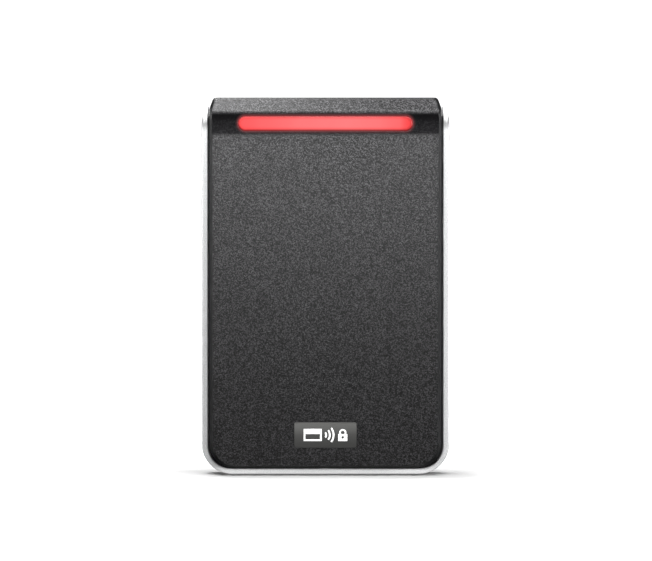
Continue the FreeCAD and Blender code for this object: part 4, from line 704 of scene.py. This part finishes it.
def bulk_capacitors():
    """Aluminium cans with a rolled groove near the foot and a crimped rim on top."""
    cans = Shape()
    for low, high in islands("bulk_capacitors"):
        radius, tall = (high.x - low.x) / 2, high.y - low.y
        groove = radius - 0.22
        cans.stack([(radius - 0.1, 0), (radius, 0.15), (radius, 0.7), (groove, 0.86), (groove, 0.96),
                    (radius, 1.12), (radius, tall - 0.3), (radius - 0.1, tall - 0.08), (radius - 0.28, tall),
                    (radius - 0.4, tall - 0.1)], middle_of(low, high, low.y), (0, 1, 0))
    cans.piece("bulk_capacitor_cans", "capacitor_can", "reader", "bulk_capacitors")


def power_inductor():
    """A ferrite drum: square flanges at the foot and top, and a round waist that holds the coil."""
    (low, high), = islands("power_inductor")
    half, tall = (high.x - low.x) / 2, high.y - low.y
    drum = Shape()
    flange, inner, waist = squarish(half, half), squarish(half - 0.2, half - 0.2), half - 0.6
    drum.stack([(flange, 0), (flange, 0.6), (inner, 0.7), (waist, 0.8), (waist, tall - 0.9),
                (inner, tall - 0.8), (flange, tall - 0.7), (flange, tall - 0.25),
                (squarish(half - 0.25, half - 0.25), tall)], middle_of(low, high, low.y), (0, 1, 0), count=64)
    drum.piece("power_inductor_drum", "ferrite", "reader", "power_inductor")


def clock_crystal():
    """A pressed can on a flanged foot."""
    (low, high), = islands("clock_crystal")
    half_x, half_z = (high.x - low.x) / 2, (high.z - low.z) / 2
    can = Shape()
    foot, wall = squarish(half_x, half_z, 4), squarish(half_x - 0.16, half_z - 0.2, 4)
    can.stack([(foot, 0), (foot, 0.22), (wall, 0.3), (wall, 1.2),
               (squarish(half_x - 0.3, half_z - 0.35, 4), high.y - low.y)],
              middle_of(low, high, low.y), (0, 1, 0), count=64)
    can.piece("clock_crystal_can", "crystal_can", "reader", "clock_crystal")


def sounder():
    """A round case with a sound hole, a ring round it and a seam near its foot."""
    (low, high), = islands("sounder")
    radius, tall = (high.x - low.x) / 2, high.y - low.y
    drum = Shape()
    drum.stack([(0.8, 2.0), (0.8, 0.1), (0.9, 0), (radius - 1.3, 0), (radius - 1.2, 0.14),
                (radius - 0.9, 0.14), (radius - 0.8, 0), (radius - 0.35, 0.05), (radius, 0.4),
                (radius, tall - 0.9), (radius - 0.2, tall - 0.8), (radius - 0.2, tall - 0.4),
                (radius, tall - 0.3), (radius, tall)],
               middle_of(low, high, high.y), (0, -1, 0), count=64)
    drum.piece("sounder_drum", "sounder_black", "reader", "sounder")


def header_pins():
    """Square pins with pointed ends."""
    pins = Shape()
    for low, high in islands("header_pins"):
        corner = (high.x - low.x) / 2 * math.sqrt(2)
        pins.stack([(corner * 0.4, 0), (corner * 0.9, 0.55), (corner, 0.75), (corner, high.y - low.y)],
                   middle_of(low, high, high.y), (0, -1, 0), count=4, turn=math.pi / 4)
    pins.piece("header_pins_pointed", "tinned_pins", "reader", "header_pins")


def status_leds():
    """Flat bases, each with a low dome."""
    lamps = Shape()
    base = 0.35
    for low, high in islands("status_leds"):
        lamps.block((low.x, high.y - base, low.z), high, 0.06)
        wide, narrow = squarish(0.62, 0.47, 5), squarish(0.45, 0.34, 4)
        lamps.stack([(wide, 0), (wide, 0.2), (narrow, 0.35)], middle_of(low, high, high.y - base), (0, -1, 0))
    lamps.piece("status_leds_domed", "led_white", "reader", "status_leds")


def detail():
    for make in (security_screw, small_screws, chips, chip_capacitors, surge_and_sensor, bulk_capacitors,
                 power_inductor, clock_crystal, sounder, header_pins, status_leds):
        make()
    soften(0.25, "plug_left", "plug_right", "header_left", "header_right", "ferrite_sheet")
    soften(0.12, "light_reflector", "light_guide", "screw_washer", "housing_seal", "bluetooth_module",
           "tamper_light_pipe")
    soften(0.10, *(f"clamp_cage_{number}" for number in range(1, 11)))
    soften(0.3, "rear_housing")


# ---------------------------------------------------------------- studio

def aim(thing, target):
    thing.rotation_mode = "QUATERNION"
    thing.rotation_quaternion = (Vector(target) - thing.location).to_track_quat("-Z", "Y")


def softbox(name, place, target, size, power):
    lamp = bpy.data.lights.new(name, "AREA")
    lamp.shape = "RECTANGLE"
    lamp.size, lamp.size_y = size
    lamp.energy = power
    thing = bpy.data.objects.new(name, lamp)
    bpy.context.scene.collection.objects.link(thing)
    thing.location = place
    thing.visible_camera = False
    aim(thing, target)


def studio():
    """A dim fill, an overhead sun for the floor, boxes at both sides for the plate, one over the reader for
    its face and three small ones for its lip."""
    scene = bpy.context.scene
    scene.view_settings.view_transform = "Standard"
    world = bpy.data.worlds.new("studio")
    world.use_nodes = True
    world.node_tree.nodes["Background"].inputs["Color"].default_value = (1, 1, 1, 1)
    world.node_tree.nodes["Background"].inputs["Strength"].default_value = 0.09
    scene.world = world

    sun = bpy.data.lights.new("overhead", "SUN")
    sun.angle = math.radians(40)
    sun.energy = 3.0
    overhead = bpy.data.objects.new("overhead", sun)
    scene.collection.objects.link(overhead)
    overhead.location = (-0.12, 0.42, 1)
    aim(overhead, (0, 0, 0))

    softbox("left_light", (-1.2, -0.9, 0.11), (0, 0, 0), (0.7, 0.30), 12.5)
    softbox("right_light", (1.2, -0.9, 0.11), (0, 0, 0), (0.7, 0.30), 26)
    softbox("face_light", (0.045, -0.14, 0.20), (0, -0.018, 0.03), (0.28, 0.05), 1.15)
    softbox("lip_light", (-0.085, -0.05, 0.15), (-0.02, -0.016, 0.058), (0.06, 0.05), 0.18)
    softbox("lip_front_light", (-0.10, -0.12, 0.13), (-0.03, -0.018, 0.056), (0.05, 0.04), 0.09)
    softbox("lip_back_light", (-0.08, 0.09, 0.16), (-0.03, -0.012, 0.06), (0.05, 0.04), 0.105)


def floor_and_backdrop():
    """A pale floor that turns up, far away on every side, into a lit white backdrop. Close to the reader its
    colour and glow are dimmed, a painted shadow of the reader."""
    flat, bend, wall, steps = 3.2, 1.2, 3.5, 12
    profile = [(0.0, 0.0), (flat, 0.0)]
    for step in range(1, steps + 1):
        angle = math.pi / 2 * step / steps
        profile.append((flat + bend * math.sin(angle), bend - bend * math.cos(angle)))
    profile.append((flat + bend, wall))
    shape = bmesh.new()
    points = [shape.verts.new((r, 0, z)) for r, z in profile]
    edges = [shape.edges.new(pair) for pair in zip(points, points[1:])]
    bmesh.ops.spin(shape, geom=points + edges, cent=(0, 0, 0), axis=(0, 0, 1), angle=math.tau, steps=96,
                   use_merge=True)
    bmesh.ops.remove_doubles(shape, verts=shape.verts, dist=1e-5)
    bmesh.ops.recalc_face_normals(shape, faces=shape.faces)
    bmesh.ops.reverse_faces(shape, faces=shape.faces)
    mesh = bpy.data.meshes.new("cyclorama")
    shape.to_mesh(mesh)
    for face in mesh.polygons:
        face.use_smooth = True
    cyclorama = bpy.data.objects.new("cyclorama", mesh)
    cyclorama.location.z = LOW.z
    finish = Finish("pale_floor", (0.9, 0.9, 0.9), 0.8)
    x, y, _ = finish.axes()
    ahead = finish.math("MAXIMUM", finish.math("SUBTRACT", LOW.y, y), finish.math("MAXIMUM", y, 0.0))
    near = finish.diagonal(finish.above(finish.size(x), HIGH.x), ahead)
    tone = finish.mix(finish.noise(0.4, 2), (0.90, 0.90, 0.90), (0.93, 0.93, 0.93))
    # painted shadow: the floor's colour is darkened within about 42 mm of the reader
    finish.color(finish.mix(1.0, tone, finish.span(near, 2 * MM, 42 * MM, 0.45, 1.0), "MULTIPLY"))
    finish.shader.inputs["Emission Color"].default_value = (1, 1, 1, 1)
    # the glow is dimmed near the reader as part of the painted shadow, and rises evenly far away
    glow = finish.math("ADD", finish.span(near, 4 * MM, 60 * MM, 0.0, 0.4),
                       finish.span(finish.diagonal(x, y), 0.15, 2.5, 0.0, 0.7))
    finish.link(glow, finish.shader.inputs["Emission Strength"])
    mesh.materials.append(finish.material)
    bpy.context.scene.collection.objects.link(cyclorama)
    cyclorama.visible_diffuse = False
    cyclorama.visible_glossy = False


def camera():
    """Square on to the face, a touch above the middle, from far away with a long lens."""
    distance, elevation = 1.6, math.radians(1.5)
    seen_width = 0.2103          # at the reader
    aside, height = 0.17 * MM, 1.75 * MM
    lens = bpy.data.cameras.new("camera")
    lens.sensor_width = 36
    lens.lens = lens.sensor_width * distance / seen_width
    lens.clip_start, lens.clip_end = 0.05, 100
    thing = bpy.data.objects.new("camera", lens)
    bpy.context.scene.collection.objects.link(thing)
    target = Vector((aside, (LOW.y + HIGH.y) / 2, height))
    thing.location = target + distance * Vector((0, -math.cos(elevation), math.sin(elevation)))
    aim(thing, target)
    bpy.context.scene.camera = thing


camera()
studio()
floor_and_backdrop()
dress_nodes()
detail()
